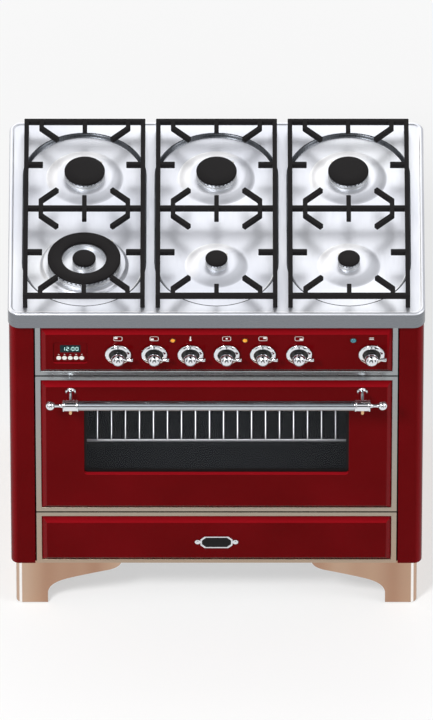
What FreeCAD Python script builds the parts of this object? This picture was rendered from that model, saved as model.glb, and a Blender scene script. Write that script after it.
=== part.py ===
import FreeCAD, Part
import math
import os

# Range cooker 900 wide: gas hob, one oven with a drop-down door, storage drawer.
# Millimetres, +X right, the front faces -Y, +Z up.
# The origin is on the floor, under the centre of the overall box.

# General
overrun = 5.0
sheet = 1.5
thin_sheet = 1.2
fit_gap = 0.3
pin_fit = 0.05
same_point = 0.0001
dome_in_share = 0.7
dome_up_share = 0.87

# Round pieces are drawn with flats, to stay light
round_sides = 12
fine_sides = 18
rod_sides = 6
wire_sides = 6
bend_steps = 2
ball_steps = 4
corner_steps = 3
well_end_steps = 9

# Hob top
worktop_width = 900.0
worktop_depth = 600.0
worktop_top = 900.0
worktop_edge = 40.0
worktop_corner = 25.0
worktop_round = 2.5
worktop_sheet = 2.0
worktop_lip = 20.0
well_radius = 131.5
well_depth = 8.0
well_slope = 5.0
backguard_spacing = 800.0
backguard_hole = 2.6

# Handle, whose bracket is the foremost point of the cooker
handle_out = 39.0
handle_drop = 38.0
handle_radius = 11.0
handle_half = 298.5
bracket_radius = 13.5
bracket_waist = 12.2
bracket_length = 34.1
bracket_ring = 5.0
ring_flat_share = 0.7
neck_radius = 3.5
neck_length = 18.0
ball_radius = 10.2
post_radius = 7.5
post_foot_radius = 11.0
post_foot = 3.0
post_flare = 8.0
finial_radius = 4.5
finial_waist = 2.8
finial_length = 12.5
finial_cap = 4.5
finial_root_share = 0.8
finial_neck_share = 0.8
finial_tip_share = 0.3

# Levels and depths of the body
body_bottom = 130.5
face_set_back = 12.0
frame_recess = 43.0
side_set_in = 2.0
back_set_in = 25.0
column_width = 53.0
column_round = 18.0
side_flange = 25.0
rear_flange = 28.0

# The three fields of the front
trim_half = 392.0
trim_side_bar = 12.5
trim_plate = 2.5
trim_wall = 1.5
trim_depth = 20.0
trim_bevel = 1.5
panel_gap = 3.5
control_height = 153.0
control_top_gap = 2.0
control_bottom_bar = 12.0
control_top_bar = 10.0
door_height = 411.5
door_bottom_bar = 11.0
door_top_bar = 12.5
drawer_bottom_gap = 1.0
drawer_bottom_bar = 10.0
drawer_top_bar = 12.5
panel_proud = 6.0
panel_side_slope = 10.0
panel_top_slope = 13.6
panel_bottom_slope = 12.0
panel_sheet = 1.2
panel_edge_gap = 0.4

# Oven window
window_width = 574.0
window_height = 205.0
window_bottom = 409.5
window_corner = 7.0
window_rim = 8.0
glass_thickness = 4.0
glass_margin = 10.0
inner_glass_margin = 32.0
inner_glass_lap = 12.0

# Door pan and hinges
door_pan_depth = 34.0
door_pan_step = 14.0
door_pan_slope = 12.0
hinge_back = 8.0
hinge_up = 13.0
hinge_x = 330.0
hinge_pin_radius = 3.0
hinge_arm_width = 8.0
hinge_arm_height = 8.0
hinge_boss = 4.0
hinge_arm_reach = 36.0
hinge_notch = 6.0
hinge_cheek = 3.0
hinge_cheek_height = 34.0
hinge_side_gap = 0.5
hinge_slot_gap = 1.5
receiver_wall = 2.0
receiver_height = 20.0
receiver_depth = 42.0

# Oven
oven_half = 350.0
oven_bottom = 330.0
oven_height = 340.0
oven_depth = 430.0
oven_corner = 25.0
oven_flange = 18.0
insulation_thickness = 20.0
gasket_width = 9.0
gasket_offset = 10.0
gasket_corner = 20.0

# Racks and their guides
rack_wire = 3.0
rack_cross_wire = 2.2
rack_half = 337.0
rack_depth = 375.0
rack_front_gap = 10.0
rack_wire_count = 18
rack_corner = 20.0
rack_upstand = 18.0
rack_upstand_in = 60.0
rack_levels = (452.0, 554.0)
guide_wire = 3.0
guide_spread = 12.2
guide_post_inset = 60.0
guide_top_margin = 60.0

# Fan, its cover and motor
fan_height = 585.0
fan_radius = 56.0
fan_hub = 14.0
fan_blade_count = 8
fan_blade_depth = 20.0
fan_blade_thickness = 2.0
fan_plate = 1.5
fan_wall_gap = 6.0
fan_shaft = 4.0
fan_cover_width = 300.0
fan_cover_height = 160.0
fan_cover_depth = 38.0
fan_cover_slope = 16.0
fan_hole = 7.0
fan_hole_pitch = 14.0
fan_hole_rows = 5
fan_hole_columns = 7
motor_radius = 38.0
motor_length = 45.0
motor_nose = 10.0
motor_bore_depth = 30.0

# Heating elements
element_radius = 3.5
grill_height = 651.0
grill_half = 270.0
grill_front = 70.0
grill_back = 330.0
grill_bend = 25.0
grill_runs = 4
ring_element_radius = 66.0
ring_element_sides = 6

# Oven lamp
lamp_x = 253.0
lamp_height = 487.0
lamp_radius = 30.0
lamp_lens_radius = 25.0
lamp_depth = 12.0
lamp_socket = 20.0
lamp_socket_length = 38.0

# Storage drawer
drawer_box_half = 360.0
drawer_box_floor = 148.0
drawer_box_height = 112.0
drawer_box_depth = 440.0
drawer_opening_half = 378.0
drawer_opening_margin = 6.0
drawer_back_rim = 2.0
runner_height = 25.0
runner_up = 42.0
runner_width = 13.0
runner_length = 420.0
rail_wall = 1.5
rail_gap = 0.5
rail_foot_width = 30.0

# Nameplate with no lettering
plate_height = 203.3
plate_length = 70.0
plate_width = 35.0
plate_chamfer = 9.0
plate_thickness = 3.0
plate_rim = 3.0
plate_recess = 0.8
plate_ear_radius = 6.5
plate_ear_offset = 41.0
plate_screw_radius = 3.0
plate_screw_head = 1.6

# Corner skirts and feet
skirt_set_in = 12.4
skirt_set_back = 8.0
skirt_floor_gap = 2.0
skirt_corner = 14.0
skirt_foot_width = 62.6
skirt_foot_top = 43.0
skirt_curve_in = 10.0
skirt_curve_up = 14.0
skirt_shelf_in = 34.0
skirt_shelf_up = 29.0
skirt_slope_in = 122.0
skirt_slope_up = 55.0
skirt_hook_in = 144.0
skirt_hook_up = 69.0
skirt_top_in = 166.0
skirt_back_gap = 6.0
skirt_flange = 50.0
foot_pad_radius = 22.0
foot_pad_height = 9.0
foot_pad_top = 14.0
foot_stem_radius = 6.0
foot_socket_radius = 14.0
foot_socket_height = 42.0
foot_inset_x = 46.0
foot_inset_y = 70.0

# Base pan and back panel
pan_upstand = 12.0
vent_width = 60.0
vent_height = 8.0
vent_count = 6
vent_pitch = 90.0
vent_rows = 2
vent_row_pitch = 24.0
vent_level = 820.0

# Front frame
frame_sheet = 2.0
frame_top = 888.0
frame_return = 25.0
frame_control_bottom = 720.0
frame_control_top = 852.0
frame_control_half = 378.0

# Knobs and their rings
knob_first = -212.7
knob_pitch = 78.2
knob_slots_share = (0, 1, 2, 3, 4, 5, 7)
knob_height = 778.0
knob_ball = 14.7
knob_ball_out = 20.0
knob_neck = 8.5
knob_plate = 16.5
knob_plate_gap = 1.5
knob_plate_thickness = 3.0
knob_stem = 4.0
knob_stem_length = 30.0
knob_lever = 3.4
knob_lever_tip = 4.6
knob_lever_reach = 32.5
knob_lever_start = 10.0
knob_front_flat = 5.0
ring_outer = 28.4
ring_crest = 25.0
ring_inner = 18.0
ring_rise = 9.0
ring_foot = 3.0
stem_hole = 6.0

# Lamps on the control panel
lamp_slots_share = (1.5, 3.5, 6.5)
jewel_height = 817.6
jewel_small = 7.0
jewel_large = 8.0
jewel_rise = 4.0
jewel_body_inset = 2.0
jewel_length = 14.0

# Clock
clock_x = -315.8
clock_height = 779.0
clock_width = 74.0
clock_tall = 63.0
clock_corner = 6.0
clock_recess = 3.0
clock_rim = 8.0
clock_depth = 30.0
display_width = 44.0
display_tall = 21.7
display_up = 9.9
display_recess = 1.0
button_radius = 5.25
button_pitch = 12.4
button_count = 5
button_down = 17.6
button_rise = 1.5
button_length = 5.5
button_hole_depth = 6.0
button_gap = 0.3

# Taps, gas rail and pipes
tap_radius = 13.0
tap_front = 12.0
tap_outlet_radius = 5.0
tap_outlet_top = 22.0
rail_size = 18.0
rail_half = 388.0
pipe_radius = 4.0
pipe_high = 845.0
pipe_low = 826.0
feed_radius = 7.0
feed_x = 405.0
feed_bend = 12.0
feed_inset = 15.0
feed_step = 30.0

# Gas inlet and cable gland at the back
inlet_radius = 10.48
inlet_length = 15.0
inlet_nut = 15.0
inlet_nut_length = 6.0
gland_x = -380.0
gland_height = 700.0
gland_radius = 14.0
gland_bore = 6.0
gland_length = 16.0
gland_tip_share = 0.8
terminal_width = 80.0
terminal_height = 60.0
terminal_depth = 34.0

# Burners and pan supports
column_pitch = 286.0
row_pitch = 271.5
grate_width = 263.0
grate_length = 551.0
grate_rear_margin = 28.0
grate_top = 938.0
grate_depth = 12.0
grate_bar = 10.0
grate_leg = 10.0
finger_side_tip = 90.3
finger_end_tip = 102.5
finger_cross_tip = 99.1
finger_corner_x = 94.1
finger_corner_end_run = 26.5
finger_corner_cross_run = 23.0
finger_tip_x = 58.3
finger_tip_y = 77.9
dome_rise = 6.0
head_rise = 12.0
head_foot = 4.0
cap_rise = 7.0
cap_edge = 2.5
cap_crown = 1.0
port_width = 2.6
port_depth = 4.0
port_turn = 15.0
flange_thickness = 3.0
cup_depth = 38.0
cup_floor = 6.0
spigot_rise = 3.0
spigot_wall = 2.5
igniter_radius = 2.5
igniter_out = 6.0
igniter_rise = 10.0
mid_burner = {"dome": 82.0, "dome_top": 56.0, "cap": 44.0, "spigot": 24.0, "cup": 30.0, "ports": 8}
small_burner = {"dome": 66.6, "dome_top": 36.0, "cap": 24.0, "spigot": 13.0, "cup": 20.0, "ports": 6}
dual_burner = {"dome": 94.8, "dome_top": 88.0, "cap": 79.0, "spigot": 12.0, "cup": 34.0, "ports": 12}
dual_ring_inner = 48.0
dual_centre_cap = 25.3
dual_centre_ports = 4

# Planes worked out from the sizes above
overall_depth = worktop_depth + handle_out + bracket_radius
hob_front = handle_out + bracket_radius - overall_depth / 2
hob_back = hob_front + worktop_depth
worktop_bottom = worktop_top - worktop_edge
face_y = hob_front + face_set_back
panel_y = face_y - panel_proud
frame_y = face_y + frame_recess
frame_back = frame_y + frame_sheet
back_y = hob_back - back_set_in
back_sheet_y = back_y - sheet
side_x = worktop_width / 2 - side_set_in
column_x = side_x - column_width

control_top = worktop_bottom - control_top_gap
control_bottom = control_top - control_height
door_top = control_bottom - panel_gap
door_bottom = door_top - door_height
handle_z = door_top - handle_drop
drawer_top = door_bottom - panel_gap
drawer_bottom = body_bottom + drawer_bottom_gap

oven_top = oven_bottom + oven_height
oven_front = frame_y
oven_back = oven_front + oven_depth
oven_skin_back = oven_back + sheet
insulation_back = oven_skin_back + insulation_thickness
hinge_y = face_y + hinge_back
hinge_z = door_bottom + hinge_up
door_pan_back = face_y + door_pan_depth
grate_y = hob_back - grate_rear_margin - grate_length / 2
well_floor = worktop_top - well_depth
dome_top_z = well_floor + dome_rise
dome_under_z = dome_top_z - worktop_sheet
head_top_z = dome_top_z + head_rise
cup_bottom_z = dome_under_z - cup_depth
rail_front = frame_back
rail_back = rail_front + rail_size
tap_y = face_y + tap_front
grate_bottom = grate_top - grate_depth


def vec(x, y, z):
    return FreeCAD.Vector(x, y, z)


def box(x0, x1, y0, y1, z0, z1):
    return Part.makeBox(x1 - x0, y1 - y0, z1 - z0, vec(x0, y0, z0))


def rounded_box(x0, x1, y0, y1, z0, z1, radius, axis):
    # A block whose four edges along the axis are rounded in short flats.
    low = vec(x0, y0, z0)
    size = vec(x1 - x0, y1 - y0, z1 - z0)
    across = vec(0, 1, 0) if axis.x else vec(1, 0, 0)
    up = vec(1, 1, 1) - across - axis
    wide = size.dot(across)
    tall = size.dot(up)
    points = []
    for quarter in range(4):
        middle_across = wide - radius if quarter in (0, 3) else radius
        middle_up = tall - radius if quarter in (0, 1) else radius
        for step in range(corner_steps + 1):
            angle = math.pi / 2 * (quarter + step / corner_steps)
            points.append(low + across * (middle_across + radius * math.cos(angle))
                          + up * (middle_up + radius * math.sin(angle)))
    return extruded(points, axis * size.dot(axis))


def extruded(points, travel):
    # A flat outline of straight lines, pushed along the travel.
    return Part.Face(Part.makePolygon(points + points[:1])).extrude(travel)


def rectangle_xz(x0, x1, z0, z1, y):
    return [vec(x0, y, z0), vec(x1, y, z0), vec(x1, y, z1), vec(x0, y, z1)]


def solid_of(faces):
    # One closed solid from faces that share their edges.
    shell = Part.makeShell(faces)
    shell.sewShape()
    solid = Part.makeSolid(shell)
    if solid.Volume < 0:
        solid.reverse()
    return solid.removeSplitter()


def face_of(corners):
    # A flat face through the corners, leaving out a corner that repeats.
    kept = []
    for corner in corners:
        if not any(corner.isEqual(other, same_point) for other in kept):
            kept.append(corner)
    return Part.Face(Part.makePolygon(kept + kept[:1]))


def turned(profile, origin, axis, sides=round_sides):
    # A profile of (radius, height) points taken round the axis in flats.
    turn = FreeCAD.Rotation(vec(0, 0, 1), axis)
    rings = []
    for radius, height in profile:
        ring = []
        for side in range(sides):
            angle = 2 * math.pi * side / sides
            corner = vec(radius * math.cos(angle), radius * math.sin(angle), height)
            ring.append(origin + turn.multVec(corner))
        rings.append(ring)
    faces = []
    for index, (radius, height) in enumerate(profile):
        after = (index + 1) % len(profile)
        if radius == 0 and profile[after][0] == 0:
            continue
        for side in range(sides):
            beside = (side + 1) % sides
            faces.append(face_of([rings[index][side], rings[index][beside],
                                  rings[after][beside], rings[after][side]]))
    return solid_of(faces)


def cylinder(origin, axis, radius, length, sides=round_sides):
    return turned([(0, 0), (radius, 0), (radius, length), (0, length)], origin, axis, sides)


def bore(origin, axis, radius, length, sides=round_sides):
    # Room in which a round piece of this radius turns, clear of the flats.
    return cylinder(origin, axis, (radius + pin_fit) / math.cos(math.pi / sides), length, sides)


def shaft(origin, axis, radius, length):
    # True cylinder, for what turns, fits or takes a fitting from outside.
    return Part.makeCylinder(radius, length, origin, axis)


def ring_of_points(centre, direction, radius, sides):
    # Corners of a regular polygon square to the direction.
    turn = FreeCAD.Rotation(vec(0, 0, 1), direction)
    points = []
    for index in range(sides):
        angle = 2 * math.pi * (index + 0.5) / sides
        corner = vec(radius * math.cos(angle), radius * math.sin(angle), 0)
        points.append(centre + turn.multVec(corner))
    return points


def closed_rod(rings):
    # Solid through rings of corners, with flat ends.
    faces = [Part.Face(Part.makePolygon(ring + ring[:1])) for ring in (rings[0], rings[-1])]
    sides = len(rings[0])
    for ring, after in zip(rings, rings[1:]):
        for side in range(sides):
            beside = (side + 1) % sides
            faces.append(face_of([ring[side], ring[beside], after[beside], after[side]]))
    return solid_of(faces)


def rod(start, end, radius, end_radius=None, sides=rod_sides):
    # A straight wire or bar of even or tapering thickness.
    direction = end - start
    last = radius if end_radius is None else end_radius
    return closed_rod([ring_of_points(start, direction, radius, sides),
                       ring_of_points(end, direction, last, sides)])


def bend_points(points, bend):
    # The route with each corner eased by a few short chords of its arc.
    route = [points[0]]
    for before, corner, after in zip(points, points[1:], points[2:]):
        back = (before - corner).normalize()
        ahead = (after - corner).normalize()
        half_angle = back.getAngle(ahead) / 2
        centre = corner + (back + ahead).normalize() * (bend / math.sin(half_angle))
        first = corner + back * (bend / math.tan(half_angle)) - centre
        normal = back.cross(ahead).normalize()
        sweep = math.pi - 2 * half_angle
        for step in range(bend_steps + 1):
            turn = FreeCAD.Rotation(normal, -math.degrees(sweep * step / bend_steps))
            route.append(centre + turn.multVec(first))
    route.append(points[-1])
    return route


def bent_rod(points, radius, bend, sides=rod_sides):
    # A wire along straight runs, its bends mitred in a few steps.
    route = bend_points(points, bend)
    ring = ring_of_points(route[0], route[1] - route[0], radius, sides)
    rings = [ring]
    for index in range(1, len(route)):
        along = (route[index] - route[index - 1]).normalize()
        ahead = along
        if index + 1 < len(route):
            ahead = (route[index + 1] - route[index]).normalize()
        mitre = (along + ahead).normalize()
        moved = []
        for corner in rings[-1]:
            travel = (route[index] - corner).dot(mitre) / along.dot(mitre)
            moved.append(corner + along * travel)
        rings.append(moved)
    return closed_rod(rings)


def strip(points, width, z0, z1):
    # A flat bar of even width along a run of (x, y) points, mitred at its bends.
    half = width / 2
    left = []
    right = []
    for index, point in enumerate(points):
        before = points[max(index - 1, 0)]
        after = points[min(index + 1, len(points) - 1)]
        into = math.atan2(point[1] - before[1], point[0] - before[0])
        out = math.atan2(after[1] - point[1], after[0] - point[0])
        if index == 0:
            into = out
        if index == len(points) - 1:
            out = into
        normal = (into + out) / 2 + math.pi / 2
        reach = half / math.cos((out - into) / 2)
        step_x = reach * math.cos(normal)
        step_y = reach * math.sin(normal)
        left.append(vec(point[0] + step_x, point[1] + step_y, z0))
        right.append(vec(point[0] - step_x, point[1] - step_y, z0))
    return extruded(left + right[::-1], vec(0, 0, z1 - z0))


def fused(shapes):
    whole = shapes[0]
    if len(shapes) > 1:
        whole = shapes[0].multiFuse(shapes[1:])
    return whole.removeSplitter()


def mirrored_x(shape):
    return shape.mirror(vec(0, 0, 0), vec(1, 0, 0))


def pair(shape):
    # The piece and its mirror image on the other side of the cooker.
    return Part.makeCompound([shape, mirrored_x(shape)])


def save(name, shape):
    shape.exportStep("parts/" + name + ".step")


# Hob top
def obround(centre_x, radius, z):
    # Long outline about both burners of one column.
    points = []
    for end, start_angle in ((1, 0), (-1, math.pi)):
        centre_y = grate_y + end * row_pitch / 2
        for step in range(well_end_steps + 1):
            angle = start_angle + math.pi * step / well_end_steps
            points.append(vec(centre_x + radius * math.cos(angle),
                              centre_y + radius * math.sin(angle), z))
    return points


def well_form(centre_x, top, floor, spread):
    # Room of one pressed well, sloping in from its upper edge to its floor.
    mouth = obround(centre_x, well_radius + spread, top)
    bottom = obround(centre_x, well_radius + spread - well_slope, floor)
    return closed_rod([mouth, bottom])


def burner_places():
    rear_y = grate_y + row_pitch / 2
    front_y = grate_y - row_pitch / 2
    return [
        (-column_pitch, rear_y, mid_burner),
        (0, rear_y, mid_burner),
        (column_pitch, rear_y, mid_burner),
        (-column_pitch, front_y, dual_burner),
        (0, front_y, small_burner),
        (column_pitch, front_y, small_burner),
    ]


def dome_form(x, y, burner, floor, top):
    profile = [(0, 0), (burner["dome"], 0), (burner["dome_top"], top - floor), (0, top - floor)]
    return turned(profile, vec(x, y, floor), vec(0, 0, 1), fine_sides)


def igniter_place(x, y, burner):
    # The electrode stands beside the cap, towards the centre and the back.
    reach = (burner["cap"] + igniter_out) * math.sqrt(0.5)
    side = -1 if x > 0 else 1
    return x + side * reach, y + reach


def make_worktop():
    half = worktop_width / 2
    up = vec(0, 0, 1)
    skin = rounded_box(-half, half, hob_front, hob_back, worktop_bottom, worktop_top,
                       worktop_corner, up)
    top_edges = [edge for edge in skin.Edges if edge.BoundBox.ZMin > worktop_top - overrun]
    skin = skin.makeChamfer(worktop_round, top_edges)
    hollow_floor = worktop_bottom + worktop_sheet
    hollow_top = worktop_top - worktop_sheet
    hollow = rounded_box(worktop_sheet - half, half - worktop_sheet,
                         hob_front + worktop_sheet, hob_back - worktop_sheet,
                         hollow_floor, hollow_top, worktop_corner - worktop_sheet, up)
    for centre_x in (-column_pitch, 0, column_pitch):
        skin = skin.cut(well_form(centre_x, worktop_top, well_floor, 0))
        under = well_form(centre_x, hollow_top, well_floor - worktop_sheet, worktop_sheet)
        hollow = hollow.cut(under)
    for x, y, burner in burner_places():
        skin = skin.fuse(dome_form(x, y, burner, well_floor, dome_top_z))
        floor = well_floor - worktop_sheet
        hollow = hollow.fuse(dome_form(x, y, burner, floor, dome_under_z))
    inset = worktop_sheet + worktop_lip
    mouth = box(inset - half, half - inset, hob_front + inset, hob_back - inset,
                worktop_bottom - overrun, hollow_floor)
    top = skin.cut(hollow).cut(mouth)
    holes = []
    for x, y, burner in burner_places():
        start = vec(x, y, worktop_bottom)
        holes.append(cylinder(start, up, burner["spigot"] + fit_gap, worktop_edge + overrun))
        pin_x, pin_y = igniter_place(x, y, burner)
        start = vec(pin_x, pin_y, worktop_bottom + worktop_lip)
        holes.append(cylinder(start, up, igniter_radius + fit_gap, worktop_edge, rod_sides))
    for side in (-1, 1):
        middle = (worktop_top + worktop_bottom) / 2
        start = vec(side * backguard_spacing / 2, hob_back - worktop_sheet - overrun, middle)
        holes.append(shaft(start, vec(0, 1, 0), backguard_hole, worktop_sheet + 2 * overrun))
    return top.cut(holes)


# Burners
def make_burner_base(x, y, burner):
    flange = burner["dome_top"] - flange_thickness
    spigot_top = dome_top_z + spigot_rise - cup_bottom_z
    under = dome_under_z - cup_bottom_z
    throat = burner["spigot"] - spigot_wall
    profile = [
        (0, 0), (burner["cup"], 0), (burner["cup"], under - flange_thickness),
        (flange, under - flange_thickness), (flange, under), (burner["spigot"], under),
        (burner["spigot"], spigot_top), (throat, spigot_top), (throat, cup_floor), (0, cup_floor),
    ]
    return turned(profile, vec(x, y, cup_bottom_z), vec(0, 0, 1), rod_sides)


def make_ports(x, y, radius, count):
    # Notches that let the gas out under the edge of a cap.
    cutters = []
    for index in range(count):
        cutter = box(radius - spigot_wall - overrun, radius + overrun,
                     -port_width / 2, port_width / 2,
                     head_top_z - port_depth, head_top_z + overrun)
        cutter.rotate(vec(0, 0, 0), vec(0, 0, 1), port_turn + 360 * index / count)
        cutter.translate(vec(x, y, 0))
        cutters.append(cutter)
    return cutters


def burner_sides(burner):
    return fine_sides if burner is dual_burner else round_sides


def make_burner_head(x, y, burner):
    bore = burner["spigot"] + fit_gap
    head = burner["cap"] - cap_edge
    if burner is dual_burner:
        inner = dual_ring_inner + cap_edge
        centre = dual_centre_cap - cap_edge
        profile = [
            (bore, 0), (head + cap_edge, 0), (head, head_foot), (head, head_rise),
            (inner, head_rise), (inner, head_foot), (centre, head_foot), (centre, head_rise),
            (bore, head_rise),
        ]
        ports = make_ports(x, y, head, burner["ports"])
        ports += make_ports(x, y, centre, dual_centre_ports)
    else:
        profile = [(bore, 0), (head + cap_edge, 0), (head, head_foot), (head, head_rise),
                   (bore, head_rise)]
        ports = make_ports(x, y, head, burner["ports"])
    head = turned(profile, vec(x, y, dome_top_z), vec(0, 0, 1), burner_sides(burner))
    return head.cut(ports)


def make_burner_cap(x, y, outer, inner):
    profile = [
        (inner, 0), (outer, 0), (outer, cap_rise - cap_edge),
        (outer - cap_edge, cap_rise), (inner + cap_edge, cap_rise),
        (inner, cap_rise + cap_crown if inner == 0 else cap_rise - cap_edge),
    ]
    sides = fine_sides if outer > mid_burner["cap"] else round_sides
    return turned(profile, vec(x, y, head_top_z), vec(0, 0, 1), sides)


def make_burner_caps():
    caps = []
    for x, y, burner in burner_places():
        if burner is dual_burner:
            caps.append(make_burner_cap(x, y, burner["cap"], dual_ring_inner))
            caps.append(make_burner_cap(x, y, dual_centre_cap, 0))
        else:
            caps.append(make_burner_cap(x, y, burner["cap"], 0))
    return Part.makeCompound(caps)


def make_igniters():
    pins = []
    for x, y, burner in burner_places():
        pin_x, pin_y = igniter_place(x, y, burner)
        start = vec(pin_x, pin_y, dome_under_z)
        pins.append(cylinder(start, vec(0, 0, 1), igniter_radius,
                             worktop_sheet + igniter_rise, rod_sides))
    return Part.makeCompound(pins)


# Pan supports
def make_grate(centre_x):
    half_x = grate_width / 2
    half_y = grate_length / 2
    bar = grate_bar
    ring = box(-half_x, half_x, -half_y, half_y, grate_bottom, grate_top)
    ring = ring.cut(box(bar - half_x, half_x - bar, bar - half_y, half_y - bar,
                        grate_bottom, grate_top))
    bars = [ring]
    cross = [(bar / 2 - half_x, 0), (half_x - bar / 2, 0)]
    bars.append(strip(cross, bar, grate_bottom, grate_top))
    burner = row_pitch / 2
    centre_tip = burner - finger_cross_tip
    bars.append(strip([(0, -centre_tip), (0, centre_tip)], bar, grate_bottom, grate_top))
    for end in (-1, 1):
        burner_y = end * burner
        tip = burner_y + end * finger_end_tip
        bars.append(strip([(0, end * (half_y - bar / 2)), (0, tip)], bar, grate_bottom, grate_top))
        for side in (-1, 1):
            frame_x = side * (half_x - bar / 2)
            tip_x = side * finger_side_tip
            bars.append(strip([(frame_x, burner_y), (tip_x, burner_y)], bar,
                              grate_bottom, grate_top))
            corner_x = side * finger_corner_x
            point_x = side * finger_tip_x
            outer = [(corner_x, end * (half_y - bar / 2)),
                     (corner_x, end * (half_y - finger_corner_end_run)),
                     (point_x, burner_y + end * finger_tip_y)]
            bars.append(strip(outer, bar, grate_bottom, grate_top))
            inner = [(corner_x, 0), (corner_x, end * finger_corner_cross_run),
                     (point_x, burner_y - end * finger_tip_y)]
            bars.append(strip(inner, bar, grate_bottom, grate_top))
            leg_x = side * half_x
            leg_y = end * half_y
            bars.append(box(min(leg_x, leg_x - side * grate_leg),
                            max(leg_x, leg_x - side * grate_leg),
                            min(leg_y, leg_y - end * grate_leg),
                            max(leg_y, leg_y - end * grate_leg),
                            worktop_top, grate_top))
    grate = fused(bars)
    grate.translate(vec(centre_x, grate_y, 0))
    return grate


# Body panels
def make_side_panel():
    # The column at the front and the side are one folded sheet.
    inner_x = side_x - sheet
    arc_turn = math.sqrt(0.5)
    centre = vec(side_x - column_round, face_y + column_round, body_bottom)
    small = column_round - sheet
    leg_y = frame_back + frame_return
    outer_mid = centre + vec(column_round * arc_turn, -column_round * arc_turn, 0)
    inner_mid = centre + vec(small * arc_turn, -small * arc_turn, 0)
    z = body_bottom
    a = vec(column_x, face_y, z)
    b = vec(side_x - column_round, face_y, z)
    c = vec(side_x, face_y + column_round, z)
    d = vec(side_x, back_y, z)
    e = vec(side_x - rear_flange, back_y, z)
    f = vec(side_x - rear_flange, back_sheet_y, z)
    g = vec(inner_x, back_sheet_y, z)
    h = vec(inner_x, face_y + column_round, z)
    i = vec(side_x - column_round, face_y + sheet, z)
    j = vec(column_x + sheet, face_y + sheet, z)
    k = vec(column_x + sheet, leg_y, z)
    m = vec(column_x, leg_y, z)
    edges = [Part.LineSegment(a, b).toShape(), Part.Arc(b, outer_mid, c).toShape()]
    for start, end in ((c, d), (d, e), (e, f), (f, g), (g, h)):
        edges.append(Part.LineSegment(start, end).toShape())
    edges.append(Part.Arc(h, inner_mid, i).toShape())
    for start, end in ((i, j), (j, k), (k, m), (m, a)):
        edges.append(Part.LineSegment(start, end).toShape())
    height = worktop_bottom - body_bottom
    wall = Part.Face(Part.Wire(edges)).extrude(vec(0, 0, height))
    flange = box(side_x - side_flange, inner_x, face_y + column_round, back_sheet_y,
                 worktop_bottom - sheet, worktop_bottom)
    return fused([wall, flange])


def make_base_pan():
    inner_x = side_x - sheet
    rear = back_sheet_y - sheet
    tray = box(-inner_x, inner_x, frame_back, rear, body_bottom, body_bottom + pan_upstand)
    room = box(sheet - inner_x, inner_x - sheet, frame_back + sheet, rear - sheet,
               body_bottom + sheet, body_bottom + pan_upstand)
    notch = box(column_x - fit_gap, column_x + sheet + fit_gap, frame_back - overrun,
                frame_back + frame_return + fit_gap, body_bottom - overrun,
                body_bottom + pan_upstand + overrun)
    return tray.cut([room, notch, mirrored_x(notch)])


def make_back_panel():
    inner_x = side_x - sheet
    plate = box(-inner_x, inner_x, back_sheet_y - sheet, back_sheet_y,
                body_bottom, worktop_bottom - sheet)
    plate = plate.cut(vent_cutters())
    gas = cylinder(vec(feed_x, back_y - overrun, knob_height), vec(0, 1, 0),
                   feed_radius + fit_gap, 2 * overrun)
    cable = cylinder(vec(gland_x, back_y - overrun, gland_height), vec(0, 1, 0),
                     gland_bore + sheet, 2 * overrun)
    return plate.cut([gas, cable])


def vent_cutters():
    cutters = []
    for row in range(vent_rows):
        level = vent_level - row * vent_row_pitch
        for index in range(vent_count):
            centre = (index - (vent_count - 1) / 2) * vent_pitch
            cutters.append(box(centre - vent_width / 2, centre + vent_width / 2,
                               back_y - overrun, back_y, level - vent_height / 2,
                               level + vent_height / 2))
    return cutters


def make_front_frame():
    plate = box(-column_x, column_x, frame_y, frame_back, body_bottom, frame_top)
    sides = box(-column_x, column_x, frame_back, frame_back + frame_return,
                body_bottom + pan_upstand, frame_top)
    sides = sides.cut(box(frame_sheet - column_x, column_x - frame_sheet, frame_back,
                          frame_back + frame_return, body_bottom, frame_top + overrun))
    frame = fused([plate, sides])
    control = box(-frame_control_half, frame_control_half, frame_y - overrun,
                  frame_back + overrun, frame_control_bottom, frame_control_top)
    oven = rounded_box(-oven_half - sheet, oven_half + sheet, frame_y - overrun,
                       frame_back + overrun, oven_bottom - sheet, oven_top + sheet,
                       oven_corner + sheet, vec(0, 1, 0))
    drawer = box(-drawer_opening_half, drawer_opening_half, frame_y - overrun,
                 frame_back + overrun, drawer_box_floor - drawer_opening_margin,
                 drawer_box_floor + drawer_box_height + drawer_opening_margin)
    frame = frame.cut([control, oven, drawer])
    return frame.fuse([make_receiver(-1), make_receiver(1)]).cut([hinge_room(-1), hinge_room(1)])


def hinge_room(side):
    # Slot in which one hinge claw lies, with its floor under the claw.
    half = hinge_arm_width / 2 + hinge_side_gap
    floor = hinge_z - hinge_arm_height / 2
    return box(side * hinge_x - half, side * hinge_x + half, frame_y - overrun,
               frame_y + hinge_arm_reach + hinge_slot_gap, floor,
               floor + hinge_arm_height + hinge_side_gap)


def make_receiver(side):
    half = hinge_arm_width / 2 + hinge_side_gap + receiver_wall
    top = hinge_z + hinge_arm_height / 2 + hinge_side_gap + fit_gap
    return box(side * hinge_x - half, side * hinge_x + half, frame_back,
               frame_back + receiver_depth, top - receiver_height, top)


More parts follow.
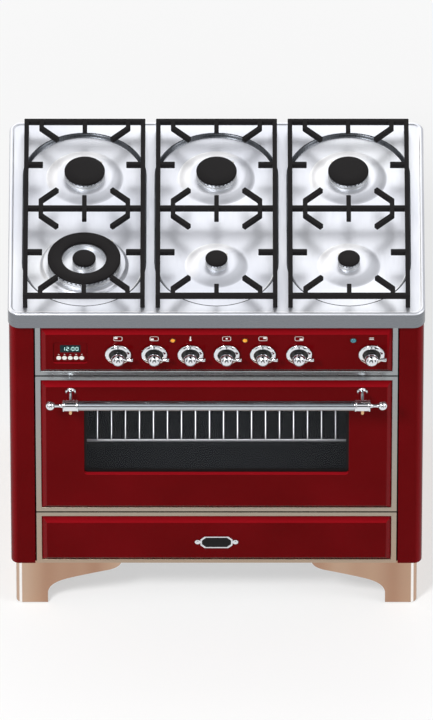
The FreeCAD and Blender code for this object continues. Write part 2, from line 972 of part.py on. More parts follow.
def make_hinge_arm():
    # Claw with its pivot pin, hooked over the lower edge of the receiver.
    bottom = hinge_z - hinge_arm_height / 2
    half = hinge_arm_width / 2
    arm = box(hinge_x - half, hinge_x + half, hinge_y, frame_y + hinge_arm_reach,
              bottom, bottom + hinge_arm_height)
    notch = box(hinge_x - half, hinge_x + half, frame_back + hinge_notch,
                frame_back + 2 * hinge_notch, bottom, bottom + hinge_arm_height / 3)
    boss = cylinder(vec(hinge_x - half, hinge_y, hinge_z), vec(1, 0, 0), hinge_boss,
                    hinge_arm_width, rod_sides)
    pin_half = half + hinge_side_gap + hinge_cheek
    pin = cylinder(vec(hinge_x - pin_half, hinge_y, hinge_z), vec(1, 0, 0),
                   hinge_pin_radius, 2 * pin_half)
    return fused([arm.cut(notch), boss, pin])


# Corner skirts and feet
def make_skirt():
    outer_x = worktop_width / 2 - skirt_set_in
    front = face_y + skirt_set_back
    rear = back_y - skirt_back_gap
    inner_x = outer_x - skirt_foot_width - skirt_top_in
    past_x = inner_x - 2 * skirt_corner
    block = rounded_box(past_x, outer_x, front, rear + skirt_corner, skirt_floor_gap,
                        body_bottom, skirt_corner, vec(0, 0, 1))
    room = rounded_box(past_x - skirt_corner, outer_x - sheet, front + sheet,
                       rear + 2 * skirt_corner, skirt_floor_gap - overrun,
                       body_bottom - sheet, skirt_corner - sheet, vec(0, 0, 1))
    flange_cut = box(past_x - overrun, outer_x - skirt_flange, front + skirt_flange,
                     rear + skirt_corner, body_bottom - sheet, body_bottom)
    tail = box(past_x - overrun, outer_x + overrun, rear, rear + 2 * skirt_corner, 0,
               body_bottom)
    inner_end = box(past_x - overrun, inner_x, front - overrun, rear + overrun, 0, body_bottom)
    skirt = block.cut([room, flange_cut, tail, inner_end])
    return skirt.cut(arch_cutter(outer_x - skirt_foot_width, front))


def arch_cutter(edge_x, front):
    # Ogee outline of the arch between the feet, from the floor up.
    def place(inward, height):
        return vec(edge_x - inward, front - overrun, height)

    low = place(0, -overrun)
    foot = place(0, skirt_foot_top)
    curve = place(skirt_curve_in, skirt_foot_top + skirt_curve_up)
    shelf = place(skirt_shelf_in, skirt_foot_top + skirt_shelf_up)
    slope = place(skirt_slope_in, skirt_foot_top + skirt_slope_up)
    hook = place(skirt_hook_in, skirt_foot_top + skirt_hook_up)
    top = place(skirt_top_in, body_bottom - sheet)
    far = place(skirt_top_in + overrun, body_bottom - sheet)
    far_low = place(skirt_top_in + overrun, -overrun)
    edges = [
        Part.LineSegment(low, foot).toShape(),
        Part.Arc(foot, curve, shelf).toShape(),
        Part.LineSegment(shelf, slope).toShape(),
        Part.Arc(slope, hook, top).toShape(),
        Part.LineSegment(top, far).toShape(),
        Part.LineSegment(far, far_low).toShape(),
        Part.LineSegment(far_low, low).toShape(),
    ]
    return Part.Face(Part.Wire(edges)).extrude(vec(0, skirt_corner + overrun, 0))


def make_feet():
    feet = []
    foot_x = worktop_width / 2 - foot_inset_x
    profile = [
        (0, 0), (foot_pad_radius, 0), (foot_pad_radius, foot_pad_height),
        (foot_stem_radius, foot_pad_top),
        (foot_stem_radius, body_bottom - foot_socket_height),
        (foot_socket_radius, body_bottom - foot_socket_height),
        (foot_socket_radius, body_bottom - sheet), (0, body_bottom - sheet),
    ]
    for side in (-1, 1):
        for foot_y in (face_y + foot_inset_y, back_y - foot_inset_y):
            feet.append(turned(profile, vec(side * foot_x, foot_y, 0), vec(0, 0, 1),
                               round_sides if foot_y < 0 else rod_sides))
    return Part.makeCompound(feet)


# The three fields of the front
def make_surround(bottom, top, bottom_bar, top_bar, depth):
    # Brushed frame of folded sheet round one field, bevelled at its inner edge.
    frame = box(-trim_half, trim_half, face_y, face_y + depth, bottom, top)
    room = box(trim_wall - trim_half, trim_half - trim_wall, face_y + trim_plate,
               face_y + depth + overrun, bottom + trim_wall, top - trim_wall)
    inner = trim_half - trim_side_bar
    low = bottom + bottom_bar
    high = top - top_bar
    window = box(-inner, inner, face_y - overrun, face_y + trim_plate + overrun, low, high)
    bevel = closed_rod([
        rectangle_xz(-inner - trim_bevel, inner + trim_bevel, low - trim_bevel,
                     high + trim_bevel, face_y),
        rectangle_xz(-inner, inner, low, high, face_y + trim_bevel),
    ])
    return frame.cut([room, window, bevel])


def make_pressed_panel(bottom, top, bottom_bar, top_bar):
    # Enamelled sheet with a raised field, its flange held behind the surround.
    flange_y = face_y + trim_plate
    flange_in = trim_wall + fit_gap
    flange = box(flange_in - trim_half, trim_half - flange_in, flange_y,
                 flange_y + panel_sheet, bottom + flange_in, top - flange_in)
    inner = trim_half - trim_side_bar - panel_edge_gap
    low = bottom + bottom_bar + panel_edge_gap
    high = top - top_bar - panel_edge_gap
    form = closed_rod([
        rectangle_xz(-inner, inner, low, high, flange_y),
        rectangle_xz(panel_side_slope - inner, inner - panel_side_slope,
                     low + panel_bottom_slope, high - panel_top_slope, panel_y),
    ])
    room = form.copy()
    room.translate(vec(0, panel_sheet, 0))
    return flange.fuse(form).cut(room)


def make_control_panel():
    panel = make_pressed_panel(control_bottom, control_top, control_bottom_bar, control_top_bar)
    half_x = clock_width / 2
    half_z = clock_tall / 2
    along_y = vec(0, 1, 0)
    rim = rounded_box(clock_x - half_x - panel_sheet, clock_x + half_x + panel_sheet,
                      panel_y, panel_y + clock_rim, clock_height - half_z - panel_sheet,
                      clock_height + half_z + panel_sheet, clock_corner + panel_sheet, along_y)
    pocket = rounded_box(clock_x - half_x, clock_x + half_x, panel_y - overrun,
                         panel_y + clock_rim + overrun, clock_height - half_z,
                         clock_height + half_z, clock_corner, along_y)
    holes = [pocket]
    for x in knob_places():
        start = vec(x, panel_y - overrun, knob_height)
        holes.append(cylinder(start, along_y, stem_hole, 2 * overrun, rod_sides))
    for x, radius in jewel_places():
        start = vec(x, panel_y - overrun, jewel_height)
        body = radius - jewel_body_inset + fit_gap
        holes.append(cylinder(start, along_y, body, 2 * overrun))
    return panel.fuse(rim).cut(holes)


def knob_places():
    return [knob_first + slot * knob_pitch for slot in knob_slots_share]


def jewel_places():
    radii = (jewel_small, jewel_small, jewel_large)
    places = [knob_first + slot * knob_pitch for slot in lamp_slots_share]
    return list(zip(places, radii))


def make_jewels():
    jewels = []
    for x, radius in jewel_places():
        body = radius - jewel_body_inset
        profile = [
            (0, -jewel_length), (body, -jewel_length), (body, 0), (radius, 0),
            (radius, jewel_rise / 3), (radius * dome_in_share, jewel_rise * dome_up_share),
            (0, jewel_rise),
        ]
        jewels.append(turned(profile, vec(x, panel_y, jewel_height), vec(0, -1, 0)))
    return Part.makeCompound(jewels)


def make_rings():
    profile = [
        (ring_inner, 0), (ring_outer, 0), (ring_outer, ring_foot), (ring_crest, ring_rise),
        (ring_inner, ring_foot),
    ]
    rings = []
    for x in knob_places():
        rings.append(turned(profile, vec(x, panel_y, knob_height), vec(0, -1, 0)))
    return Part.makeCompound(rings)


def ball_profile(radius, neck, flat):
    # Points up the side of a ball, from its neck to the flat at its tip.
    first = math.asin(neck / radius)
    last = math.pi - math.asin(flat / radius)
    points = []
    for step in range(ball_steps + 1):
        angle = first + (last - first) * step / ball_steps
        points.append((radius * math.sin(angle), -radius * math.cos(angle)))
    return points


def make_knob(x):
    # Ball on a short neck with a lever at three o'clock, on the spindle of its tap.
    out = vec(0, -1, 0)
    back = knob_plate_gap
    front = back + knob_plate_thickness
    ball_z = knob_ball_out
    profile = [(0, back), (knob_plate, back), (knob_plate, front), (knob_neck, front)]
    for radius, height in ball_profile(knob_ball, knob_neck, knob_front_flat):
        profile.append((radius, ball_z + height))
    profile.append((0, profile[-1][1]))
    knob = turned(profile, vec(x, panel_y, knob_height), out)
    stem = rod(vec(x, panel_y + knob_stem_length, knob_height), vec(x, panel_y - front, knob_height),
               knob_stem)
    lever_y = panel_y - ball_z
    start = vec(x + knob_lever_start, lever_y, knob_height)
    end = vec(x + knob_lever_reach, lever_y, knob_height)
    return fused([knob, stem, rod(start, end, knob_lever, knob_lever_tip)])


def make_clock():
    half_x = clock_width / 2 - fit_gap
    half_z = clock_tall / 2 - fit_gap
    front = panel_y + clock_recess
    body = rounded_box(clock_x - half_x, clock_x + half_x, front, front + clock_depth,
                       clock_height - half_z, clock_height + half_z, clock_corner, vec(0, 1, 0))
    display_z = clock_height + display_up
    display = box(clock_x - display_width / 2, clock_x + display_width / 2, front - overrun,
                  front + display_recess, display_z - display_tall / 2,
                  display_z + display_tall / 2)
    holes = [display]
    for x in button_places():
        start = vec(x, front - overrun, clock_height - button_down)
        holes.append(cylinder(start, vec(0, 1, 0), button_radius + button_gap,
                              overrun + button_hole_depth))
    return body.cut(holes)


def button_places():
    middle = (button_count - 1) / 2
    return [clock_x + (index - middle) * button_pitch for index in range(button_count)]


def make_button(x):
    front = panel_y + clock_recess - button_rise
    start = vec(x, front, clock_height - button_down)
    return cylinder(start, vec(0, 1, 0), button_radius, button_length)


# Door
def make_door_panel():
    panel = make_pressed_panel(door_bottom, door_top, door_bottom_bar, door_top_bar)
    half = window_width / 2
    window_top = window_bottom + window_height
    along_y = vec(0, 1, 0)
    rim = rounded_box(-half - panel_sheet, half + panel_sheet, panel_y, panel_y + window_rim,
                      window_bottom - panel_sheet, window_top + panel_sheet,
                      window_corner + panel_sheet, along_y)
    hole = rounded_box(-half, half, panel_y - overrun, panel_y + window_rim + overrun,
                       window_bottom, window_top, window_corner, along_y)
    return panel.fuse(rim).cut(hole)


def make_door_pan():
    # Inner pan of the door with the cheeks that hold the hinge pins.
    front = face_y + trim_plate + panel_sheet
    inset = trim_wall + fit_gap
    half = trim_half - inset
    low = door_bottom + inset
    high = door_top - inset
    knee = door_pan_back - door_pan_slope
    step = door_pan_step - inset
    outside = box(-half, half, front, knee, low, high)
    taper = closed_rod([
        rectangle_xz(-half, half, low, high, knee),
        rectangle_xz(step - half, half - step, low + step, high - step, door_pan_back),
    ])
    skin = thin_sheet
    inside = box(skin - half, half - skin, front - overrun, knee, low + skin, high - skin)
    inner_taper = closed_rod([
        rectangle_xz(skin - half, half - skin, low + skin, high - skin, knee),
        rectangle_xz(step + skin - half, half - step - skin, low + step + skin,
                     high - step - skin, door_pan_back - skin),
    ])
    pan = fused([outside, taper]).cut(inside.fuse(inner_taper))
    reach = window_width / 2 + inner_glass_margin - inner_glass_lap
    lower = window_bottom - inner_glass_margin + inner_glass_lap
    upper = window_bottom + window_height + inner_glass_margin - inner_glass_lap
    pan = pan.cut(box(-reach, reach, knee, door_pan_back + overrun, lower, upper))
    cheeks = []
    for side in (-1, 1):
        for inner in (-1, 1):
            centre = side * hinge_x
            near = centre + inner * (hinge_arm_width / 2 + hinge_side_gap)
            far = near + inner * hinge_cheek
            cheeks.append(box(min(near, far), max(near, far), front, knee, low + skin / 2,
                              low + hinge_cheek_height))
    pan = fused([pan] + cheeks)
    return pan.cut([door_slot(-1), door_slot(1), pin_bore(-1), pin_bore(1)])


def door_slot(side):
    # Room that the claw sweeps in the lower edge of the door.
    half = hinge_arm_width / 2 + hinge_side_gap
    front = face_y + trim_plate + panel_sheet
    return box(side * hinge_x - half, side * hinge_x + half, front, door_pan_back + overrun,
               door_bottom - overrun, hinge_z + hinge_boss + hinge_side_gap)


def pin_bore(side):
    reach = hinge_arm_width / 2 + hinge_side_gap + hinge_cheek + overrun
    return bore(vec(side * hinge_x - reach, hinge_y, hinge_z), vec(1, 0, 0),
                hinge_pin_radius, 2 * reach)


def make_window_glass():
    half = window_width / 2 + glass_margin
    front = panel_y + window_rim
    return box(-half, half, front, front + glass_thickness, window_bottom - glass_margin,
               window_bottom + window_height + glass_margin)


def make_inner_glass():
    half = window_width / 2 + inner_glass_margin
    back = door_pan_back - thin_sheet
    return box(-half, half, back - glass_thickness, back, window_bottom - inner_glass_margin,
               window_bottom + window_height + inner_glass_margin)


def make_handle():
    axis_y = hob_front - handle_out
    along = vec(1, 0, 0)
    bar = cylinder(vec(-handle_half, axis_y, handle_z), along, handle_radius,
                   2 * handle_half)
    ring_flat = bracket_ring * ring_flat_share
    neck_end = bracket_length + neck_length
    profile = [
        (0, 0), (bracket_radius, 0), (bracket_radius, ring_flat),
        (bracket_waist, bracket_ring), (bracket_waist, bracket_length - bracket_ring),
        (bracket_radius, bracket_length - ring_flat), (bracket_radius, bracket_length),
        (neck_radius, bracket_length), (neck_radius, neck_end), (0, neck_end),
    ]
    bracket = turned(profile, vec(handle_half, axis_y, handle_z), along)
    ball_x = handle_half + neck_end + ball_radius - neck_radius / 2
    ball = turned(ball_profile(ball_radius, 0, 0), vec(ball_x, axis_y, handle_z), along)
    bracket_x = handle_half + bracket_length / 2
    post_length = panel_y - axis_y
    post = turned([
        (0, 0), (post_foot_radius, 0), (post_foot_radius, post_foot), (post_radius, post_flare),
        (post_radius, post_length), (0, post_length),
    ], vec(bracket_x, panel_y, handle_z), vec(0, -1, 0))
    finial_start = bracket_waist * finial_root_share
    finial_end = bracket_radius + finial_length
    finial = turned([
        (0, finial_start), (finial_radius, finial_start), (finial_radius, finial_end - finial_cap),
        (finial_waist, finial_end - finial_cap * finial_neck_share),
        (finial_waist, finial_end - finial_cap * finial_tip_share), (0, finial_end),
    ], vec(bracket_x, axis_y, handle_z), vec(0, 0, -1), rod_sides)
    end = fused([bracket, ball, post, finial])
    return fused([bar, end, mirrored_x(end)])


# Drawer
def make_drawer_box():
    # A tray welded up from flat sheets, on the plate that carries the pressed front.
    plate_front = face_y + trim_depth
    front = plate_front + thin_sheet
    back = plate_front + drawer_box_depth
    half = drawer_box_half
    inner = half - thin_sheet
    top = drawer_box_floor + drawer_box_height
    low = drawer_box_floor + thin_sheet
    wide = trim_half - drawer_back_rim
    plate = box(-wide, wide, plate_front, front, drawer_bottom + drawer_back_rim,
                drawer_top - drawer_back_rim)
    floor = box(-half, half, front, back, drawer_box_floor, low)
    side = box(inner, half, front, back, low, top)
    front_wall = box(-inner, inner, front, front + thin_sheet, low, top)
    back_wall = box(-inner, inner, back - thin_sheet, back, low, top)
    return Part.makeCompound([plate, floor, side, mirrored_x(side), front_wall, back_wall])


def make_runner():
    front = frame_back + rail_gap
    low = drawer_box_floor + runner_up
    return box(drawer_box_half, drawer_box_half + runner_width, front, front + runner_length,
               low, low + runner_height)


def make_rail():
    # Channel round the runner, on the front frame and on a foot at the back.
    front = frame_back
    back = front + runner_length + rail_gap
    low = drawer_box_floor + runner_up
    inner = drawer_box_half + runner_width + rail_gap
    outer = inner + rail_wall
    lip = drawer_box_half + rail_wall
    reach = drawer_opening_half + rail_wall * 2
    web = box(inner, outer, front, back, low - rail_gap - rail_wall,
              low + runner_height + rail_gap + rail_wall)
    bottom = box(lip, outer, front, back, low - rail_gap - rail_wall, low - rail_gap)
    upper = box(lip, outer, front, back, low + runner_height + rail_gap,
                low + runner_height + rail_gap + rail_wall)
    tab = box(inner, reach, front, front + rail_wall, low, low + runner_height)
    foot = box(inner, outer, back - rail_foot_width, back, body_bottom + sheet, low)
    return fused([web, bottom, upper, tab, foot])


def make_nameplate():
    half = plate_length / 2
    tall = plate_width / 2
    chamfer = plate_chamfer

    def octagon(inset, y, depth):
        wide = half - inset
        high = tall - inset
        cut = chamfer
        points = [(-wide, high - cut), (-wide + cut, high), (wide - cut, high), (wide, high - cut),
                  (wide, cut - high), (wide - cut, -high), (cut - wide, -high), (-wide, cut - high)]
        outline = [vec(x, y, plate_height + z) for x, z in points]
        return extruded(outline, vec(0, depth, 0))

    front = panel_y - plate_thickness
    plate = octagon(0, front, plate_thickness)
    ears = []
    heads = []
    for side in (-1, 1):
        centre = vec(side * plate_ear_offset, front + plate_recess, plate_height)
        ears.append(cylinder(centre, vec(0, 1, 0), plate_ear_radius,
                             plate_thickness - plate_recess))
        heads.append(cylinder(centre - vec(0, plate_screw_head, 0), vec(0, 1, 0),
                              plate_screw_radius, plate_screw_head))
    plate = fused([plate] + ears)
    plate = plate.cut(octagon(plate_rim, front - overrun, overrun + plate_recess))
    return Part.makeCompound([plate] + heads)


# Oven
def make_oven_liner():
    along_y = vec(0, 1, 0)
    front = frame_y - sheet
    shell = rounded_box(-oven_half - sheet, oven_half + sheet, front, oven_skin_back,
                        oven_bottom - sheet, oven_top + sheet, oven_corner + sheet, along_y)
    flange = box(-oven_half - oven_flange, oven_half + oven_flange, front, frame_y,
                 oven_bottom - oven_flange, oven_top + oven_flange)
    room = rounded_box(-oven_half, oven_half, front - overrun, oven_back, oven_bottom, oven_top,
                       oven_corner, along_y)
    nose = cylinder(vec(0, oven_back - overrun, fan_height), along_y, motor_nose + fit_gap,
                    2 * overrun)
    lamp = cylinder(vec(lamp_x, oven_back - overrun, lamp_height), along_y,
                    lamp_socket + fit_gap, 2 * overrun)
    return fused([shell, flange]).cut([room, nose, lamp])


def make_insulation():
    along_y = vec(0, 1, 0)
    wool = insulation_thickness
    clear = sheet + fit_gap
    jacket = box(-oven_half - clear - wool, oven_half + clear + wool, frame_back + fit_gap,
                 insulation_back, oven_bottom - clear - wool, oven_top + clear + wool)
    room = rounded_box(-oven_half - clear, oven_half + clear, frame_back - overrun,
                       oven_skin_back, oven_bottom - clear, oven_top + clear,
                       oven_corner + clear, along_y)
    nose = cylinder(vec(0, oven_back, fan_height), along_y, motor_nose + fit_gap,
                    insulation_thickness + overrun)
    lamp = cylinder(vec(lamp_x, oven_back, lamp_height), along_y, lamp_socket + fit_gap,
                    insulation_thickness + overrun)
    return jacket.cut([room, nose, lamp])


def make_gasket():
    along_y = vec(0, 1, 0)
    front = door_pan_back + fit_gap
    back = frame_y - sheet
    near = gasket_offset - gasket_width / 2
    far = gasket_offset + gasket_width / 2
    outside = rounded_box(-oven_half - far, oven_half + far, front, back, oven_bottom - far,
                          oven_top + far, gasket_corner + gasket_width, along_y)
    inside = rounded_box(-oven_half - near, oven_half + near, front - overrun, back + overrun,
                         oven_bottom - near, oven_top + near, gasket_corner, along_y)
    return outside.cut(inside)


def make_rack(level):
    # Chromed frame with wires from front to back and a raised stop wire behind.
    front = oven_front + rack_front_gap
    back = front + rack_depth
    half = rack_half - rack_wire
    frame_front = front + rack_wire
    frame_rear = back - rack_wire
    start = vec(0, frame_front, level)
    loop = bent_rod([
        start, vec(half, frame_front, level), vec(half, frame_rear, level),
        vec(0, frame_rear, level),
    ], rack_wire, rack_corner)
    wires = [loop, mirrored_x(loop)]
    span = 2 * (half - rack_corner) / (rack_wire_count - 1)
    for index in range(rack_wire_count):
        x = rack_corner - half + index * span
        wires.append(rod(vec(x, frame_front, level), vec(x, frame_rear, level),
                         rack_cross_wire, sides=wire_sides))
    stop_half = half - rack_upstand_in
    stop = bent_rod([
        vec(-stop_half, frame_rear, level), vec(-stop_half, frame_rear, level + rack_upstand),
        vec(stop_half, frame_rear, level + rack_upstand), vec(stop_half, frame_rear, level),
    ], rack_cross_wire, rack_upstand / 3, wire_sides)
    wires.append(stop)
    return fused(wires)


def make_guide():
    # Ladder of wires on one wall: two rails for each rack, on two posts.
    rail_x = rack_half - rack_wire
    post_x = oven_half - guide_wire - fit_gap
    front = oven_front + rack_front_gap + rack_wire
    back = front + rack_depth
    wires = []
    low_end = rack_levels[0] - guide_spread
    high_end = rack_levels[-1] + guide_top_margin
    for post_y in (front + guide_post_inset, back - guide_post_inset):
        wires.append(rod(vec(post_x, post_y, low_end - guide_top_margin),
                         vec(post_x, post_y, high_end), guide_wire, sides=wire_sides))
    for level in rack_levels:
        for side in (-1, 1):
            z = level + side * guide_spread / 2
            wires.append(rod(vec(rail_x, front, z), vec(rail_x, back, z), guide_wire,
                             sides=wire_sides))
            for post_y in (front + guide_post_inset, back - guide_post_inset):
                wires.append(rod(vec(rail_x, post_y, z), vec(post_x, post_y, z), guide_wire,
                                 sides=wire_sides))
    return fused(wires)


def make_fan_cover():
    # Dished plate over the fan with a field of staggered holes.
    half = fan_cover_width / 2
    tall = fan_cover_height / 2
    front = oven_back - fan_cover_depth
    slope = fan_cover_slope
    form = closed_rod([
        rectangle_xz(-half, half, fan_height - tall, fan_height + tall, oven_back),
        rectangle_xz(slope - half, half - slope, fan_height + slope - tall,
                     fan_height + tall - slope, front),
    ])
    room = form.copy()
    room.translate(vec(0, sheet, 0))
    cover = form.cut(room)
    edge = box(-half, half, oven_back - sheet, oven_back, fan_height - tall, fan_height + tall)
    inner = box(sheet - half, half - sheet, oven_back - 2 * sheet, oven_back + overrun,
                fan_height - tall + sheet, fan_height + tall - sheet)
    cover = cover.fuse(edge.cut(inner))
    cutters = []
    for row in range(fan_hole_rows):
        z = fan_height + (row - (fan_hole_rows - 1) / 2) * fan_hole_pitch
        shift = fan_hole_pitch / 4 if row % 2 else -fan_hole_pitch / 4
        for column in range(fan_hole_columns):
            x = (column - (fan_hole_columns - 1) / 2) * fan_hole_pitch + shift
            cutters.append(box(x - fan_hole / 2, x + fan_hole / 2, front - overrun,
                               front + overrun, z - fan_hole / 2, z + fan_hole / 2))
    return cover.cut(cutters)


def make_fan():
    # Wheel with straight blades on a back plate, on the motor shaft.
    back = oven_back - fan_wall_gap
    centre = vec(0, back, fan_height)
    out = vec(0, -1, 0)
    plate = cylinder(centre, out, fan_radius, fan_plate)
    hub = cylinder(centre, out, fan_hub, fan_blade_depth)
    shaft_length = fan_wall_gap + sheet + insulation_thickness + motor_bore_depth / 2
    spindle = cylinder(centre, vec(0, 1, 0), fan_shaft, shaft_length)
    solids = [plate, hub, spindle]
    for index in range(fan_blade_count):
        blade = box(fan_hub - fan_blade_thickness, fan_radius, back - fan_blade_depth,
                    back - fan_plate, -fan_blade_thickness / 2, fan_blade_thickness / 2)
        blade.rotate(vec(0, 0, 0), vec(0, 1, 0), 360 * index / fan_blade_count)
        blade.translate(vec(0, 0, fan_height))
        solids.append(blade)
    return fused(solids)


def make_fan_motor():
    # Motor behind the insulation, its nose reaching through to the oven wall.
    origin = vec(0, insulation_back, fan_height)
    nose = insulation_thickness
    profile = [
        (0, -nose), (motor_nose, -nose), (motor_nose, 0), (motor_radius, 0),
        (motor_radius, motor_length), (0, motor_length),
    ]
    motor = turned(profile, origin, vec(0, 1, 0))
    return motor.cut(bore(origin - vec(0, nose, 0), vec(0, 1, 0), fan_shaft,
                          nose + motor_bore_depth))


def make_elements():
    run = 2 * grill_half / (grill_runs - 1)
    front = oven_front + grill_front
    back = oven_front + grill_back
    points = [vec(-grill_half, oven_back, grill_height)]
    for index in range(grill_runs):
        x = index * run - grill_half
        near_back = index % 2 == 0
        if index > 0:
            points.append(vec(x, front if index % 2 else back, grill_height))
        points.append(vec(x, front if near_back else back, grill_height))
    points[-1] = vec(grill_half, oven_back, grill_height)
    grill = bent_rod(points, element_radius, grill_bend)
    section = []
    for index in range(ring_element_sides):
        angle = 2 * math.pi * index / ring_element_sides
        section.append((ring_element_radius + element_radius * math.cos(angle),
                        element_radius * math.sin(angle)))
    ring_y = oven_back - element_radius
    ring = turned(section, vec(0, ring_y, fan_height), vec(0, -1, 0))
    return Part.makeCompound([grill, ring])


def make_oven_lamp():
    inner = lamp_lens_radius
    profile = [
        (0, -lamp_socket_length), (lamp_socket, -lamp_socket_length), (lamp_socket, 0),
        (lamp_radius, 0), (lamp_radius, lamp_depth / 3), (inner, lamp_depth / 2),
        (inner * dome_in_share, lamp_depth * dome_up_share), (0, lamp_depth),
    ]
    return turned(profile, vec(lamp_x, oven_back, lamp_height), vec(0, -1, 0))


# Gas parts
def make_taps():
    rail = box(-rail_half, rail_half, rail_front, rail_back, knob_height - rail_size / 2,
               knob_height + rail_size / 2)
    solids = [rail]
    for x in knob_places():
        start = vec(x, tap_y, knob_height)
        length = rail_front - tap_y
        body = cylinder(start, vec(0, 1, 0), tap_radius, length, rod_sides)
        outlet = cylinder(vec(x, tap_y + length / 2, knob_height), vec(0, 0, 1),
                          tap_outlet_radius, tap_outlet_top, wire_sides)
        solids.append(body)
        solids.append(outlet)
    taps = fused(solids)
    bores = []
    for x in knob_places():
        start = vec(x, tap_y - overrun, knob_height)
        depth = panel_y + knob_stem_length - tap_y + 2 * overrun
        bores.append(bore(start, vec(0, 1, 0), knob_stem, depth, rod_sides))
    return taps.cut(bores)


def make_pipes():
    # Pipe from each tap to its burner; the middle tap feeds both middle burners.
    taps = knob_places()
    start_y = tap_y + (rail_front - tap_y) / 2
    start_z = knob_height + tap_outlet_top
    rear_y = grate_y + row_pitch / 2
    front_y = grate_y - row_pitch / 2
    routes = [
        (taps[0], -column_pitch, rear_y, pipe_low),
        (taps[1], -column_pitch, front_y, pipe_high),
        (taps[4], column_pitch, rear_y, pipe_low),
        (taps[5], column_pitch, front_y, pipe_high),
    ]
    pipes = []
    for tap_x, burner_x, burner_y, level in routes:
        pipes.append(bent_rod([
            vec(tap_x, start_y, start_z), vec(tap_x, start_y, level),
            vec(burner_x, burner_y, level), vec(burner_x, burner_y, cup_bottom_z),
        ], pipe_radius, pipe_radius * 2, wire_sides))
    middle = bent_rod([
        vec(taps[3], start_y, start_z), vec(taps[3], start_y, pipe_low),
        vec(0, front_y, pipe_low), vec(0, rear_y, pipe_low), vec(0, rear_y, cup_bottom_z),
    ], pipe_radius, pipe_radius * 2, wire_sides)
    branch = rod(vec(0, front_y, pipe_low), vec(0, front_y, cup_bottom_z), pipe_radius,
                 sides=wire_sides)
    pipes.append(fused([middle, branch]))
    feed_start = rail_half - feed_inset
    feed = bent_rod([
        vec(feed_start, rail_back, knob_height),
        vec(feed_start, rail_back + feed_step, knob_height),
        vec(feed_x, rail_back + feed_step, knob_height),
        vec(feed_x, back_sheet_y - sheet, knob_height),
    ], feed_radius, feed_bend)
    pipes.append(feed)
    return Part.makeCompound(pipes)


def make_rear_connections():
    back = back_sheet_y
    along_y = vec(0, 1, 0)
    nut = cylinder(vec(feed_x, back, knob_height), along_y, inlet_nut, inlet_nut_length,
                   wire_sides)
    thread = shaft(vec(feed_x, back, knob_height), along_y, inlet_radius,
                   inlet_nut_length + inlet_length)
    inlet = fused([nut, thread])
    gland = turned([
        (0, 0), (gland_radius, 0), (gland_radius, gland_length / 2),
        (gland_radius * gland_tip_share, gland_length), (0, gland_length),
    ], vec(gland_x, back, gland_height), along_y)
    gland = gland.cut(shaft(vec(gland_x, back - overrun, gland_height), along_y, gland_bore,
                            gland_length + 2 * overrun))
    front = back - sheet - terminal_depth
    terminal = box(gland_x - terminal_width / 2, gland_x + terminal_width / 2, front,
                   back - sheet, gland_height - terminal_height / 2,
                   gland_height + terminal_height / 2)
    return Part.makeCompound([inlet, gland, terminal])


def burner_group(maker):
    return Part.makeCompound([maker(x, y, burner) for x, y, burner in burner_places()])


def build():
    os.makedirs("parts", exist_ok=True)
    side = make_side_panel()
    skirt = make_skirt()
    save("worktop", make_worktop())
    save("side_panel_right", side)
    save("side_panel_left", mirrored_x(side))
    save("base_pan", make_base_pan())
    save("back_panel", make_back_panel())
    save("front_frame", make_front_frame())
    save("plinth_right", skirt)
    save("plinth_left", mirrored_x(skirt))
    save("feet", make_feet())

    save("control_trim", make_surround(control_bottom, control_top, control_bottom_bar,
                                       control_top_bar, frame_recess))
    save("control_panel", make_control_panel())
    save("clock_module", make_clock())
    save("indicator_lamps", make_jewels())
    save("knob_bezels", make_rings())
    for number, x in enumerate(button_places(), 1):
        save("clock_button_%d" % number, make_button(x))
    for number, x in enumerate(knob_places(), 1):
        save("knob_%d" % number, make_knob(x))

    door_trim = make_surround(door_bottom, door_top, door_bottom_bar, door_top_bar, trim_depth)
    save("door_trim", door_trim.cut([door_slot(-1), door_slot(1)]))
    save("door_panel", make_door_panel())
    save("door_liner", make_door_pan())
    save("window_glass", make_window_glass())
    save("inner_glass", make_inner_glass())
    save("handle", make_handle())
    save("hinge_arms", pair(make_hinge_arm()))

    save("drawer_trim", make_surround(drawer_bottom, drawer_top, drawer_bottom_bar,
                                      drawer_top_bar, trim_depth))
    save("drawer_front", make_pressed_panel(drawer_bottom, drawer_top, drawer_bottom_bar,
                                            drawer_top_bar))
    save("drawer_box", make_drawer_box())
    save("drawer_runners", pair(make_runner()))
    save("drawer_rails", pair(make_rail()))
    save("nameplate", make_nameplate())

    save("oven_liner", make_oven_liner())
    save("insulation", make_insulation())
    save("cavity_gasket", make_gasket())
    save("rack_lower", make_rack(rack_levels[0]))
    save("rack_upper", make_rack(rack_levels[1]))
    save("rack_guides", pair(make_guide()))
    save("fan_cover", make_fan_cover())
    save("convection_fan", make_fan())
    save("fan_motor", make_fan_motor())
    save("heating_elements", make_elements())
    save("oven_lamp", make_oven_lamp())

    save("burner_bases", burner_group(make_burner_base))
    save("burner_heads", burner_group(make_burner_head))
    save("burner_caps", make_burner_caps())
    save("igniters", make_igniters())
    save("gas_taps", make_taps())
    save("gas_pipes", make_pipes())
    save("rear_connections", make_rear_connections())
    for name, centre_x in (("left", -column_pitch), ("centre", 0), ("right", column_pitch)):
        save("grate_" + name, make_grate(centre_x))


build()
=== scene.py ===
import math

import bmesh
import bpy
from mathutils import Matrix, Vector


